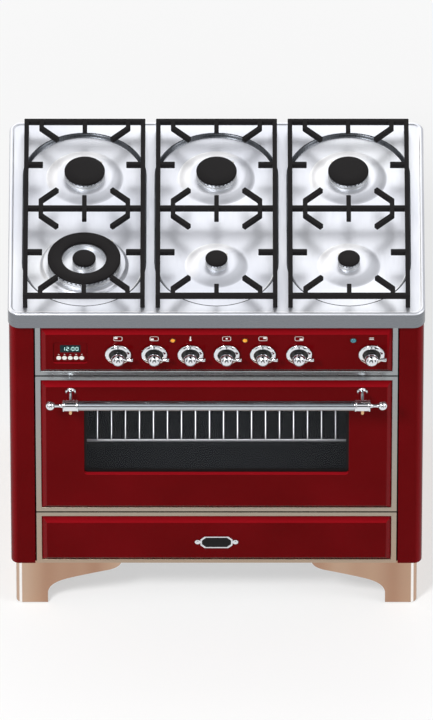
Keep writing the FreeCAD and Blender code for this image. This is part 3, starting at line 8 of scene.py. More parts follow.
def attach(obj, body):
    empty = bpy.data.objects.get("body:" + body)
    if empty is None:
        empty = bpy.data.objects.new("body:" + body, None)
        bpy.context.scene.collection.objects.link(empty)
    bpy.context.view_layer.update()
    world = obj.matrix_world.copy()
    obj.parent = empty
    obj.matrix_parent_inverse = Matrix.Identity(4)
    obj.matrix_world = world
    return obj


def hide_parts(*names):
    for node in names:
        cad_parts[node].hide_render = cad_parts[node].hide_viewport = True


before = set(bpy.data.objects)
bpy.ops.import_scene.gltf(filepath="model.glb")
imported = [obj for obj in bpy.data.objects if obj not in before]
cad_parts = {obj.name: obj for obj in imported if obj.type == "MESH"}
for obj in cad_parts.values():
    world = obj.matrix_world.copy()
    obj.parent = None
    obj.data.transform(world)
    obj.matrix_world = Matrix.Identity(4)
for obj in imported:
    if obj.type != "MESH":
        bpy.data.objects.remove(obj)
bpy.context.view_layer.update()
print("frame loaded")

# sizes in this file are millimetres, the scene is in metres
milli = 0.001
seam = 0.002          # points closer than this become one
panelY = -267.75      # flats of the red panels
knobZ = 778.0
firstKnobX = -212.7
knobPitch = 78.2
knobX = [firstKnobX + knobPitch * slot for slot in (0, 1, 2, 3, 4, 5, 7)]
columnX = (-286.0, 0.0, 286.0)
grateY = 22.75
rowReach = 135.75
rearRow = grateY + rowReach
frontRow = grateY - rowReach
worktopZ = 900.0
domeZ = worktopZ - 2
capZ = worktopZ + 10


# selecting, finishing and placing

def clearSelection():
    if bpy.context.object and bpy.context.object.mode != "OBJECT":
        bpy.ops.object.mode_set(mode="OBJECT")
    bpy.ops.object.select_all(action="DESELECT")


def selectOnly(piece):
    clearSelection()
    piece.select_set(True)
    bpy.context.view_layer.objects.active = piece


def openMesh(piece):
    selectOnly(piece)
    bpy.ops.object.mode_set(mode="EDIT")
    bpy.ops.mesh.select_all(action="SELECT")


def pick(piece, kind, wanted):
    # in edit mode, the faces or edges that are wanted get selected and the others don't
    mesh = bmesh.from_edit_mesh(piece.data)
    for part in getattr(mesh, kind):
        part.select = wanted(part)
    bmesh.update_edit_mesh(piece.data)


def closeSeams():
    # in edit mode, the seam and the poles are merged and all faces point outwards
    bpy.ops.mesh.select_all(action="SELECT")
    bpy.ops.mesh.remove_doubles(threshold=seam * milli)
    bpy.ops.mesh.normals_make_consistent(inside=False)
    bpy.ops.object.mode_set(mode="OBJECT")


def applyModifier(piece, kind, settings):
    selectOnly(piece)
    modifier = piece.modifiers.new(kind.lower(), kind)
    for key, value in settings.items():
        setattr(modifier, key, value)
    bpy.ops.object.modifier_apply(modifier=modifier.name)


def roundEdges(piece, width, segments=2, angle=32):
    applyModifier(piece, "BEVEL", {"width": width * milli, "segments": segments,
                                   "limit_method": "ANGLE", "angle_limit": math.radians(angle),
                                   "use_clamp_overlap": True})


def smoothFaces(piece, angle=35):
    selectOnly(piece)
    bpy.ops.object.shade_smooth_by_angle(angle=math.radians(angle))


def levelNormals(piece):
    # a flat keeps its own direction up to the rounded edge beside it
    applyModifier(piece, "WEIGHTED_NORMAL", {"keep_sharp": True, "weight": 50})


def settle(piece):
    # the finished object sits at the origin with its place in its mesh
    selectOnly(piece)
    bpy.ops.object.transform_apply(location=True, rotation=True, scale=True)


def dress(piece, body, material, replaced=()):
    piece.data.materials.clear()
    piece.data.materials.append(material)
    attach(piece, body)
    if replaced:
        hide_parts(*replaced)
    return piece


def placed(name, data):
    piece = bpy.data.objects.new(name, data)
    bpy.context.scene.collection.objects.link(piece)
    return piece


def moved(piece, x=0, y=0, z=0, turn=None):
    # the mesh is turned about the origin and then moved
    matrix = Matrix.Translation(Vector((x, y, z)) * milli)
    if turn:
        matrix = matrix @ Matrix.Rotation(math.radians(turn[0]), 4, turn[1])
    piece.data.transform(matrix)
    piece.data.update()
    return piece


def copied(piece, name, x=0, y=0, z=0):
    twin = placed(name, piece.data.copy())
    twin.data.transform(Matrix.Translation(Vector((x, y, z)) * milli))
    return twin


def discard(*forms):
    for form in forms:
        bpy.data.objects.remove(form)


def joined(name, pieces):
    clearSelection()
    for piece in pieces:
        piece.select_set(True)
    bpy.context.view_layer.objects.active = pieces[0]
    bpy.ops.object.join()
    pieces[0].name = name
    return pieces[0]


def block(name, low, high, bevel=0.0, segments=2):
    # a cube primitive at its size and place, with its edges bevelled
    clearSelection()
    middle = [(a + b) / 2 * milli for a, b in zip(low, high)]
    bpy.ops.mesh.primitive_cube_add(size=1, location=middle)
    piece = bpy.context.active_object
    piece.name = name
    piece.scale = [(b - a) * milli for a, b in zip(low, high)]
    settle(piece)
    if bevel:
        roundEdges(piece, bevel, segments)
        smoothFaces(piece)
    return piece


def tile(name, x, z, halfX, halfZ, front, back, bevel=0.0, segments=1):
    # a block on a front face, given by its middle and half sizes
    return block(name, (x - halfX, front, z - halfZ), (x + halfX, back, z + halfZ), bevel, segments)


def lathe(name, profile, steps=48, closed=False, soft=0.0):
    # a point is extruded along (radius, height) steps and spun round Z
    clearSelection()
    start = profile[0]
    bpy.ops.mesh.primitive_plane_add(size=milli, location=(start[0] * milli, 0, start[1] * milli))
    piece = bpy.context.active_object
    piece.name = name
    bpy.ops.object.mode_set(mode="EDIT")
    bpy.ops.mesh.merge(type="CENTER")
    for point in list(profile[1:]) + ([start] if closed else []):
        step = ((point[0] - start[0]) * milli, 0, (point[1] - start[1]) * milli)
        bpy.ops.mesh.extrude_region_move(TRANSFORM_OT_translate={"value": step})
        start = point
    bpy.ops.mesh.select_all(action="SELECT")
    bpy.ops.mesh.spin(steps=steps, angle=2 * math.pi, center=(0, 0, 0), axis=(0, 0, 1))
    closeSeams()
    settle(piece)
    if soft:
        roundEdges(piece, soft)
    smoothFaces(piece)
    return piece


def copyOfNode(node, name, bevel=0.0, segments=2, angle=40, front=None):
    # the CAD node's own form, merged to whole faces and given rounded edges
    piece = placed(name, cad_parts[node].data.copy())
    selectOnly(piece)
    bpy.ops.mesh.customdata_custom_splitnormals_clear()
    openMesh(piece)
    bpy.ops.mesh.remove_doubles(threshold=10 * seam * milli)
    bpy.ops.mesh.dissolve_limited(angle_limit=math.radians(0.6))
    mesh = bmesh.from_edit_mesh(piece.data)
    weight = mesh.edges.layers.float.new("bevel_weight_edge")
    for edge in mesh.edges:
        sharp = len(edge.link_faces) == 2 and edge.calc_face_angle() > math.radians(angle)
        ahead = front is None or all(vert.co.y < front * milli for vert in edge.verts)
        edge[weight] = 1.0 if sharp and ahead else 0.0
    bmesh.update_edit_mesh(piece.data)
    bpy.ops.object.mode_set(mode="OBJECT")
    if bevel:
        applyModifier(piece, "BEVEL", {"width": bevel * milli, "segments": segments,
                                       "limit_method": "WEIGHT", "use_clamp_overlap": True})
    smoothFaces(piece)
    levelNormals(piece)
    return piece


# materials

def linear(code):
    # sRGB hex to linear colour
    parts = [int(code[i:i + 2], 16) / 255 for i in (0, 2, 4)]
    return [p / 12.92 if p <= 0.04045 else ((p + 0.055) / 1.055) ** 2.4 for p in parts] + [1.0]


def connect(owner, node, links):
    # a link comes from a socket, or from a node's first output that is in use
    for key, source in links.items():
        if isinstance(source, bpy.types.Node):
            source = next(socket for socket in source.outputs if socket.enabled)
        owner.node_tree.links.new(source, node.inputs[key])


def addNode(owner, kind, settings=None, links=None):
    # a setting is the stops of a ramp, the value of a socket or a property
    node = owner.node_tree.nodes.new("ShaderNode" + kind)
    for key, value in (settings or {}).items():
        if key == "stops":
            elements = node.color_ramp.elements
            while len(elements) < len(value):
                elements.new(0.5)
            for element, (position, code) in zip(elements, value):
                element.position = position
                element.color = linear(code)
        elif isinstance(key, int) or key in node.inputs:
            node.inputs[key].default_value = value
        else:
            setattr(node, key, value)
    connect(owner, node, links or {})
    return node


def newMaterial(name, base, metallic, roughness, extra=None):
    mat = bpy.data.materials.new(name)
    mat.use_nodes = True
    shader = mat.node_tree.nodes["Principled BSDF"]
    settings = {"Base Color": linear(base), "Metallic": metallic, "Roughness": roughness}
    settings.update(extra or {})
    for key, value in settings.items():
        shader.inputs[key].default_value = value
    return mat, addNode(mat, "TexCoord").outputs["Object"]


def grain(mat, place, sizes, detail=3.0, rough=0.6):
    # noise whose grain is about the given sizes in millimetres along x, y and z
    scaled = addNode(mat, "Mapping", {"Scale": [1 / (size * milli) for size in sizes]},
                     {"Vector": place})
    return addNode(mat, "TexNoise", {"Scale": 1.0, "Detail": detail, "Roughness": rough},
                   {"Vector": scaled})


def heightTint(mat, place, lowZ, highZ, stops):
    # a colour that changes with the height over the floor
    height = addNode(mat, "SeparateXYZ", {}, {"Vector": place}).outputs["Z"]
    share = addNode(mat, "MapRange", {"From Min": lowZ * milli, "From Max": highZ * milli},
                    {"Value": height})
    return addNode(mat, "ValToRGB", {"stops": stops}, {"Fac": share})


def finished(mat, colour=None, gloss=None, relief=None):
    # colour is a node or a pattern with its stops, gloss a pattern with its lowest and highest
    # roughness, and relief a pattern with its depth
    if isinstance(colour, tuple):
        colour = addNode(mat, "ValToRGB", {"stops": colour[1]}, {"Fac": colour[0]})
    links = {"Base Color": colour} if colour else {}
    if gloss:
        pattern, low, high = gloss
        links["Roughness"] = addNode(mat, "MapRange", {"From Min": 0.25, "From Max": 0.75,
                                                       "To Min": low, "To Max": high},
                                     {"Value": pattern})
    if relief:
        pattern, depth = relief
        links["Normal"] = addNode(mat, "Bump", {"Strength": 1.0, "Distance": depth * milli},
                                  {"Height": pattern})
    connect(mat, mat.node_tree.nodes["Principled BSDF"], links)
    return mat


def makeHobSteel():
    # pressed stainless with a satin grain from front to back: pale, cool, softly cloudy
    mat, place = newMaterial("satinPressedStainless", "C9CCD6", 1.0, 0.45)
    cloud = grain(mat, place, (420, 300, 300), 1.0, 0.4)
    stops = ((0.30, "CCCFD8"), (0.50, "DADCE3"), (0.70, "E8EAEE"))
    colour = addNode(mat, "ValToRGB", {"stops": stops}, {"Fac": cloud})
    # painted light on each dome: the flank facing front right is painted darker as shade, and the
    # flank facing back left is painted brighter as a highlight
    paintedLightSlope = addNode(mat, "VectorMath", {"operation": "DOT_PRODUCT", 1: (0.35, -0.35, 0)},
                    {0: place.node.outputs["Normal"]})
    share = addNode(mat, "Math", {"operation": "ADD", 1: 0.5}, {0: paintedLightSlope})
    paintedShadeStops = ((0.505, "000000"), (0.56, "D0D0D0"), (0.68, "D0D0D0"), (0.76, "000000"))
    paintedHighlightStops = ((0.24, "000000"), (0.32, "FFFFFF"), (0.44, "FFFFFF"), (0.495, "000000"))
    for tone, stops in (("A2A4AB", paintedShadeStops), ("FBFBFD", paintedHighlightStops)):
        flank = addNode(mat, "ValToRGB", {"stops": stops}, {"Fac": share})
        colour = addNode(mat, "Mix", {"data_type": "RGBA", 7: linear(tone)}, {0: flank, 6: colour})
    satin = grain(mat, place, (1.6, 60, 60))
    return finished(mat, colour, (satin, 0.40, 0.52), (satin, 0.006))


def makeTrimSteel(name, halfX, lowZ, highZ, steelAndPaintedLightTones=("B59A82", "A59A8C", "989C9E")):
    # stainless strip brushed along its length, with the corners mitred; its tones by height are
    # painted light
    mat, place = newMaterial(name, "8D9396", 1.0, 0.30)
    along = grain(mat, place, (55, 55, 0.9))
    upward = grain(mat, place, (0.9, 55, 55))
    axes = addNode(mat, "SeparateXYZ", {}, {"Vector": place}).outputs
    side = addNode(mat, "Math", {"operation": "ABSOLUTE"}, {0: axes["X"]})
    fromSide = addNode(mat, "Math", {"operation": "SUBTRACT", 0: halfX * milli}, {1: side})
    fromTop = addNode(mat, "Math", {"operation": "SUBTRACT", 0: highZ * milli}, {1: axes["Z"]})
    fromLow = addNode(mat, "Math", {"operation": "SUBTRACT", 1: lowZ * milli}, {0: axes["Z"]})
    nearest = addNode(mat, "Math", {"operation": "MINIMUM"}, {0: fromTop, 1: fromLow})
    upright = addNode(mat, "Math", {"operation": "LESS_THAN"}, {0: fromSide, 1: nearest})
    brushed = addNode(mat, "Mix", {"data_type": "FLOAT"}, {0: upright, 2: along, 3: upward})
    # the default tones are a painted warm reflection low down, fading to cool grey higher up
    colour = heightTint(mat, place, 0, 860, tuple(zip((0.0, 0.35, 0.8), steelAndPaintedLightTones)))
    return finished(mat, colour, (brushed, 0.22, 0.32), (brushed, 0.0015))


def makeSkirtSteel():
    # stainless sheet brushed upright; its tan colour and soft bands are a painted warm reflection,
    # and the pale line along the bend is a painted highlight
    mat, place = newMaterial("brushedSkirt", "BA9881", 1.0, 0.22)
    paintedReflectionBands = grain(mat, place, (80, 80, 3000), 1.0, 0.4)
    stops = ((0.32, "AC8770"), (0.46, "B5937C"), (0.56, "BA9A82"), (0.70, "C2A690"))
    paintedWarmReflection = addNode(mat, "ValToRGB", {"stops": stops}, {"Fac": paintedReflectionBands})
    facing = addNode(mat, "SeparateXYZ", {}, {"Vector": place.node.outputs["Normal"]}).outputs
    across = addNode(mat, "Math", {"operation": "ABSOLUTE"}, {0: facing["X"]})
    # painted highlight: pale where the sheet turns round its bend
    stops = ((0.03, "000000"), (0.16, "FFFFFF"), (0.38, "FFFFFF"), (0.60, "000000"))
    bend = addNode(mat, "ValToRGB", {"stops": stops}, {"Fac": across})
    colour = addNode(mat, "Mix", {"data_type": "RGBA", 7: linear("FAF8F6")}, {0: bend, 6: paintedWarmReflection})
    brushed = grain(mat, place, (0.9, 0.9, 80), 2.0, 0.5)
    return finished(mat, colour, (brushed, 0.18, 0.25), (brushed, 0.0008))


def makeRedEnamel():
    # vitreous enamel fired on pressed steel: deep burgundy, wet gloss, slight orange peel;
    # upper and side edges are painted brighter as a highlight and lower edges painted darker as
    # shade, and the back of each sheet shows only the near black ground coat
    mat, place = newMaterial("burgundyEnamel", "5A0204", 0.0, 0.14,
                             {"Specular IOR Level": 0.06, "Specular Tint": linear("FF6E66")})
    cloud = grain(mat, place, (160, 160, 160), 2.0, 0.5)
    stops = ((0.25, "5A0205"), (0.55, "600307"), (0.8, "67040A"))
    colour = addNode(mat, "ValToRGB", {"stops": stops}, {"Fac": cloud})
    facing = addNode(mat, "SeparateXYZ", {}, {"Vector": place.node.outputs["Normal"]}).outputs
    # how far each face looks up: its share of the painted highlight
    upper = addNode(mat, "MapRange", {"From Min": 0.1, "From Max": 0.65, "To Max": 0.85},
                    {"Value": facing["Z"]})
    across = addNode(mat, "Math", {"operation": "ABSOLUTE"}, {0: facing["X"]})
    stops = ((0.15, "000000"), (0.5, "909090"), (0.8, "909090"), (0.97, "000000"))
    paintedSideHighlight = addNode(mat, "ValToRGB", {"stops": stops}, {"Fac": across})
    # the painted highlight share, from upper and side edges
    thin = addNode(mat, "Math", {"operation": "MAXIMUM"}, {0: upper, 1: paintedSideHighlight})
    # the painted shade share, on downward facing edges
    lower = addNode(mat, "MapRange", {"From Min": -0.1, "From Max": -0.65, "To Max": 0.7},
                    {"Value": facing["Z"]})
    behind = addNode(mat, "MapRange", {"From Min": 0.5, "From Max": 0.7}, {"Value": facing["Y"]})
    for share, tone in ((thin, "9A141E"), (lower, "2C0002"), (behind, "171314")):
        colour = addNode(mat, "Mix", {"data_type": "RGBA", 7: linear(tone)}, {0: share, 6: colour})
    peel = grain(mat, place, (5, 5, 5), 1.0, 0.4)
    return finished(mat, colour, relief=(peel, 0.02))


def makeBlackEnamel(name, base, roughness, grit, depth):
    # matt vitreous enamel: near black, with a fine grit that breaks the highlight
    mat, place = newMaterial(name, base, 0.0, roughness, {"Specular IOR Level": 0.12})
    skinGrit = grain(mat, place, (grit, grit, grit), 4.0, 0.7)
    return finished(mat, None, (skinGrit, roughness - 0.1, roughness + 0.12), (skinGrit, depth))


def makeOvenEnamel():
    # easy clean enamel: charcoal with pale blue flecks about a millimetre across
    mat, place = newMaterial("fleckedOvenEnamel", "0B0D11", 0.0, 0.45, {"Specular IOR Level": 0.12})
    fleck = addNode(mat, "TexVoronoi", {"Scale": 260.0}, {"Vector": place})
    stops = ((0.0, "5E6876"), (0.08, "1E232B"), (0.13, "0C0F14"))
    return finished(mat, (fleck, stops), relief=(grain(mat, place, (3, 3, 3)), 0.02))


def makeChrome(name, base="DDDFE3", roughness=0.07):
    # nickel and chrome plate, polished: clear reflections with faint wipe marks
    mat, place = newMaterial(name, base, 1.0, roughness)
    wipe = grain(mat, place, (30, 9, 9))
    ripple = grain(mat, place, (12, 12, 12), 2.0)
    return finished(mat, None, (wipe, max(roughness - 0.03, 0.02), roughness + 0.06),
                    (ripple, 0.01))


def makePaintedReflectionChrome(name, lowZ, highZ, tone):
    # polished chrome, its lower part painted warm as a painted reflection
    mat, place = newMaterial(name, "DDDFE3", 1.0, 0.07)
    colour = heightTint(mat, place, lowZ, highZ, ((0.0, tone), (0.18, tone), (0.4, "DDDFE3")))
    return finished(mat, colour, relief=(grain(mat, place, (12, 12, 12), 2.0), 0.006))


def makeSatinBar(lowZ, highZ):
    # tube ground round its girth: fine rings that stretch the highlight along the bar
    mat, place = newMaterial("satinGroundTube", "B9BDC1", 1.0, 0.25)
    rings = grain(mat, place, (3, 60, 60), 1.0, 0.4)
    # colour by height is painted reflection: warm underneath, a dark band just below the middle and
    # pale above
    colour = heightTint(mat, place, lowZ, highZ,
                        ((0.0, "D9AE86"), (0.22, "B9A08A"), (0.36, "8C9095"), (0.62, "C9CDD1"),
                         (0.8, "9DA3AA")))
    return finished(mat, colour, (rings, 0.22, 0.27))


def makeCastAlloy():
    # die cast aluminium, tumbled: light grey with a fine pitted skin
    mat, place = newMaterial("tumbledAluminium", "B9BBBE", 1.0, 0.42)
    pits = grain(mat, place, (1.2, 1.2, 1.2), 4.0, 0.7)
    return finished(mat, None, (pits, 0.34, 0.52), (pits, 0.03))


def makeGalvanised():
    # hot dipped zinc: flat crystals about 12 mm across in slightly different greys
    mat, place = newMaterial("galvanisedSheet", "A4A8AB", 1.0, 0.42)
    crystal = addNode(mat, "TexVoronoi", {"Scale": 85.0}, {"Vector": place})
    grey = addNode(mat, "RGBToBW", {}, {"Color": crystal.outputs["Color"]})
    stops = ((0.2, "9A9EA1"), (0.5, "A6AAAD"), (0.8, "B2B5B7"))
    return finished(mat, (grey, stops), (grey, 0.34, 0.5))


def makeGlass(name, base, alpha):
    # toughened glass with a smoky tint, so that the oven behind it shows darkly
    mat, place = newMaterial(name, base, 0.0, 0.03, {"Alpha": alpha})
    mat.blend_method = "BLEND"
    haze = grain(mat, place, (60, 60, 60), 2.0, 0.5)
    return finished(mat, None, (haze, 0.02, 0.06))


def makeMoulded(name, base, roughness=0.4, grit=0.8, specular=0.5):
    # injection moulded ABS with a fine spark texture
    mat, place = newMaterial(name, base, 0.0, roughness, {"Specular IOR Level": specular})
    spark = grain(mat, place, (grit, grit, grit))
    return finished(mat, None, (spark, roughness - 0.06, roughness + 0.1), (spark, 0.01))


def makeLens(name, base, glow, rim):
    # moulded acrylic lens: clear saturated body with a dark edge where it is thick
    mat, place = newMaterial(name, base, 0.0, 0.08,
                             {"Coat Weight": 0.5, "Emission Strength": glow,
                              "Emission Color": linear(base)})
    ribs = grain(mat, place, (2.5, 2.5, 2.5), 1.0, 0.4)
    return finished(mat, (ribs, ((0.3, rim), (0.6, base))), relief=(ribs, 0.08))


def makeWool():
    # mineral wool: matted yellow grey fibres
    mat, place = newMaterial("mineralWool", "B7AC86", 0.0, 0.95)
    fibre = grain(mat, place, (18, 2, 2), 5.0, 0.75)
    return finished(mat, (fibre, ((0.3, "8F8462"), (0.7, "C9BF9B"))), relief=(fibre, 0.8))


def makeBraid():
    # braided glass fibre seal: dark rope with slanted strands 3 mm apart
    mat, place = newMaterial("braidedSeal", "2A2A2B", 0.0, 0.85)
    strand = addNode(mat, "TexWave", {"bands_direction": "DIAGONAL", "Scale": 55.0,
                                      "Distortion": 0.6}, {"Vector": place}).outputs["Fac"]
    return finished(mat, (strand, ((0.2, "1A1A1B"), (0.8, "3C3C3D"))), relief=(strand, 0.4))


hobSteel = makeHobSteel()
controlSteel = makeTrimSteel("brushedControlTrim", 392, 705, 858)
doorSteel = makeTrimSteel("brushedDoorTrim", 392, 290, 701.5)
drawerSteel = makeTrimSteel("brushedDrawerTrim", 392, 131.5, 286.5)
skirtSteel = makeSkirtSteel()
# the hob's front edge takes a darker copy of the steel: painted shade
paintedShadeEdgeSteel = makeTrimSteel("brushedHobEdgePaintedShade", 20000, -2000, 3000, ("7E8186", "7E8186", "7E8186"))
# the well walls take a still darker copy of the steel: a painted shade line round each well
paintedShadeStepSteel = makeTrimSteel("paintedShadeHobStep", 2000, -2000, 3000, ("4E5156", "4E5156", "4E5156"))
redEnamel = makeRedEnamel()
blackEnamel = makeBlackEnamel("mattBlackEnamel", "151314", 0.5, 0.9, 0.02)
castIron = makeBlackEnamel("enamelledCastIron", "161415", 0.62, 1.4, 0.09)
ovenEnamel = makeOvenEnamel()
chrome = makeChrome("polishedChrome")
handleChrome = makePaintedReflectionChrome("handleChrome", 645, 677, "DAB184")
knobChrome = makePaintedReflectionChrome("knobChrome", 749, 807, "DDCFC1")
wireChrome = makeChrome("chromedWire", "C4C6CA", 0.3)
satinBar = makeSatinBar(652.5, 674.5)
castAlloy = makeCastAlloy()
galvanised = makeGalvanised()
windowTint = makeGlass("smokedGlass", "080A0C", 0.12)
clearGlass = makeGlass("clearToughenedGlass", "121616", 0.05)
blackPlastic = makeMoulded("blackMouldedPlastic", "161617")
whitePlastic = makeMoulded("whiteMouldedPlastic", "E6E4DF", 0.28)
amberLens = makeLens("amberLens", "E8A01C", 0.3, "B05E08")
jewelRim = makeMoulded("jewelRim", "4A0E06", 0.3, 1.5, 0.15)
tealLens = makeLens("tealLens", "2C7D8C", 0.2, "0F3B46")
lampGlass = makeLens("lampGlass", "8E908C", 0.03, "6C6E6C")
mineralWool = makeWool()
braidedSeal = makeBraid()
turnedBrass = makeChrome("turnedBrass", "B08D4A", 0.24)
glazedCeramic = makeMoulded("glazedCeramic", "E9E6DE", 0.2, 2.0)
printWhite = makeMoulded("firedWhitePrint", "EDE9E6", 0.45, 0.6)
displayGlass = makeMoulded("displayWindow", "0A2428", 0.16, 3.0, 0.12)
litSegment = makeLens("litSegment", "BFE9E4", 0.9, "9FD6D0")
print("materials made")


# CAD nodes whose own shape stays, each with its real finish

carried = (
    (galvanised, ("back_panel", "base_pan", "feet", "fan_motor", "convection_fan", "hinge_arms",
                  "drawer_box", "drawer_runners", "drawer_rails")),
    (blackEnamel, ("front_frame", "door_liner", "heating_elements")),
    (ovenEnamel, ("oven_liner", "fan_cover")),
    (castAlloy, ("burner_bases", "gas_pipes")),
    (turnedBrass, ("gas_taps", "rear_connections")),
    (mineralWool, ("insulation",)), (braidedSeal, ("cavity_gasket",)),
    (wireChrome, ("rack_guides",)), (lampGlass, ("oven_lamp",)), (glazedCeramic, ("igniters",)),
    (windowTint, ("window_glass",)), (clearGlass, ("inner_glass",)),
)
for material, nodes in carried:
    for node in nodes:
        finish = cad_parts[node].data.materials
        finish.clear()
        finish.append(material)


# hob

hobSizes = {"halfX": 450.0, "front": -273.75, "back": 326.25, "corner": 25.0, "bottom": 860.0,
            "rim": 1.5, "shoulder": 5.0, "wellRadius": 131.5, "wellDepth": 8.0, "domeRise": 6.0,
            "sheet": 2.0, "cornerSteps": 10, "endSteps": 28, "domeSteps": 96, "flankSteps": 9}
burnerSizes = {
    "middle": {"dome": 82.0, "top": 56.0, "cap": 44.0, "bore": 0, "throat": 24.3, "slots": 30},
    "double": {"dome": 94.8, "top": 88.0, "cap": 79.0, "bore": 48.0, "throat": 47.0, "slots": 48},
    "small": {"dome": 66.6, "top": 36.0, "cap": 24.0, "bore": 0, "throat": 13.3, "slots": 20},
    "inner": {"cap": 25.3, "bore": 0, "throat": 12.3, "slots": 20},
}
burners = [(x, rearRow, "middle") for x in columnX]
burners += [(x, frontRow, kind) for x, kind in zip(columnX, ("double", "small", "small"))]


def arc(x, y, radius, first, last, steps, z):
    angles = [math.radians(first + (last - first) * i / steps) for i in range(steps + 1)]
    return [(x + radius * math.cos(a), y + radius * math.sin(a), z) for a in angles]


def roundedOutline(inset, z):
    s = hobSizes
    radius = max(s["corner"] - inset, 0.5)
    left, right = -s["halfX"] + inset + radius, s["halfX"] - inset - radius
    front, back = s["front"] + inset + radius, s["back"] - inset - radius
    points = []
    for x, y, first in ((right, back, 0), (left, back, 90), (left, front, 180),
                        (right, front, 270)):
        points += arc(x, y, radius, first, first + 90, s["cornerSteps"], z)
    return points


def wellOutline(x, offset, z):
    radius = hobSizes["wellRadius"] + offset
    return (arc(x, rearRow, radius, 0, 180, hobSizes["endSteps"], z)
            + arc(x, frontRow, radius, 180, 360, hobSizes["endSteps"], z))


def addLoop(mesh, points):
    return [mesh.verts.new(Vector(point) * milli) for point in points]


def skin(mesh, loops, finishes=()):
    # walls between loops that have the same number of points
    for row, (low, high) in enumerate(zip(loops, loops[1:])):
        count = len(low)
        for i in range(count):
            j = (i + 1) % count
            face = mesh.faces.new((low[i], low[j], high[j], high[i]))
            face.material_index = finishes[row] if row < len(finishes) else 0


def fillBetween(mesh, loops):
    edges = []
    for loop in loops:
        for i in range(len(loop)):
            pair = (loop[i], loop[(i + 1) % len(loop)])
            edges.append(mesh.edges.get(pair) or mesh.edges.new(pair))
    bmesh.ops.triangle_fill(mesh, use_beauty=True, edges=edges)


def objectFrom(mesh, name, outward=None):
    # an open sheet is turned so that its seen side points outward
    bmesh.ops.recalc_face_normals(mesh, faces=mesh.faces)
    data = bpy.data.meshes.new(name)
    mesh.to_mesh(data)
    mesh.free()
    if outward and sum(face.normal.dot(outward) * face.area for face in data.polygons) < 0:
        data.flip_normals()
    return placed(name, data)


def domeLoops(mesh, x, y, size, floorZ):
    # a quarter sine from the well's floor up to the flat seat of the burner
    s = hobSizes
    dome, top = size["dome"], size["top"]
    steps = [(dome + 3, floorZ), (dome + 1, floorZ)]
    for part in range(1, s["flankSteps"]):
        share = part / s["flankSteps"]
        rise = s["domeRise"] * math.sin(share * math.pi / 2)
        steps.append((dome - (dome - top) * share, floorZ + rise))
    steps += [(top, domeZ), (top - 3, domeZ)]
    return [addLoop(mesh, arc(x, y, radius, 0, 360, s["domeSteps"], z)[:-1]) for radius, z in steps]


def makeHob():
    s = hobSizes
    mesh = bmesh.new()
    top = worktopZ
    rim = top + s["rim"]
    curve = s["shoulder"]
    sections = [(0, s["bottom"]), (0, s["bottom"] + 12), (0, s["bottom"] + 24), (0, rim - curve)]
    sections += [(curve - curve * math.cos(math.radians(a)),
                  rim - curve + curve * math.sin(math.radians(a))) for a in (18, 36, 54, 72, 90)]
    sections += [(7.5, rim), (8.3, rim - 0.3), (9.4, top + 0.2), (10.4, top), (12.5, top)]
    outer = [addLoop(mesh, roundedOutline(inset, z)) for inset, z in sections]
    # the lowest rows of the front edge take the darker copy of the steel, painted shade
    skin(mesh, outer, (1, 1, 1, 1))
    mouths = []
    floorZ = top - s["wellDepth"]
    for column in columnX:
        steps = ((3.0, top), (1.4, top), (0.5, top - 0.25), (-0.2, top - 0.9), (-2.2, top - 4.0),
                 (-4.2, floorZ + 0.9), (-5.0, floorZ + 0.25), (-6.2, floorZ), (-8.5, floorZ))
        wall = [addLoop(mesh, wellOutline(column, offset, z)) for offset, z in steps]
        # the well walls take the darkest copy of the steel, a painted shade line
        skin(mesh, wall, (2, 2, 2, 2, 2, 2))
        mouths.append(wall[0])
        floorLoops = [wall[-1]]
        for x, y, kind in burners:
            if x == column:
                dome = domeLoops(mesh, x, y, burnerSizes[kind], floorZ)
                skin(mesh, dome)
                mesh.faces.new(dome[-1])
                floorLoops.append(dome[0])
        fillBetween(mesh, floorLoops)
    fillBetween(mesh, [outer[-1]] + mouths)
    piece = objectFrom(mesh, "hobTop", Vector((0, 0, 1)))
    for material in (hobSteel, paintedShadeEdgeSteel, paintedShadeStepSteel):
        piece.data.materials.append(material)
    applyModifier(piece, "SOLIDIFY", {"thickness": s["sheet"] * milli, "offset": -1.0})
    smoothFaces(piece, 40)
    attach(piece, "body")
    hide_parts("worktop")


def makeCap(radius, bore):
    # pressed cap: flat skirt, rolled shoulder and a faint crown
    if bore:
        profile = [(bore, 0.4), (radius - 2, 0), (radius, 1.8), (radius, 4.6), (radius - 0.8, 6.2),
                   (radius - 2.6, 7), ((radius + bore) / 2, 7.6), (bore + 2.6, 7),
                   (bore + 0.8, 6.2), (bore, 4.6)]
        return lathe("cap", profile, 80, closed=True, soft=0.3)
    profile = [(0, 0), (radius - 2.4, 0), (radius - 0.4, 0.8), (radius, 2.2), (radius, 4.4),
               (radius - 0.8, 6.0), (radius - 2.6, 6.9), (radius * 0.55, 7.7), (0, 8.0)]
    return lathe("cap", profile, 72)


def makeHead(radius, throat, slots):
    # cast crown: a slotted wall whose gaps let the gas out under the cap
    wall, slotLow, top = radius - 2.5, 7.4, 11.9
    profile = [(throat, 0), (radius, 0), (radius, 3), (radius - 2.2, 4.2), (wall, slotLow),
               (wall, top), (throat, top)]
    piece = lathe("head", profile, slots * 2, closed=True)

    def isSlot(face):
        middle = face.calc_center_median()
        turn = math.atan2(middle.y, middle.x) / (2 * math.pi) * slots * 2
        outside = middle.xy.length > (wall - 1.5) * milli
        inWall = (slotLow + 0.1) * milli < middle.z < (top - 0.1) * milli
        return outside and inWall and int(math.floor(turn + slots * 4)) % 2 == 0

    openMesh(piece)
    pick(piece, "faces", isSlot)
    bpy.ops.mesh.inset(thickness=0.3 * milli, depth=-2.8 * milli, use_individual=True)
    bpy.ops.object.mode_set(mode="OBJECT")
    smoothFaces(piece, 30)
    return piece


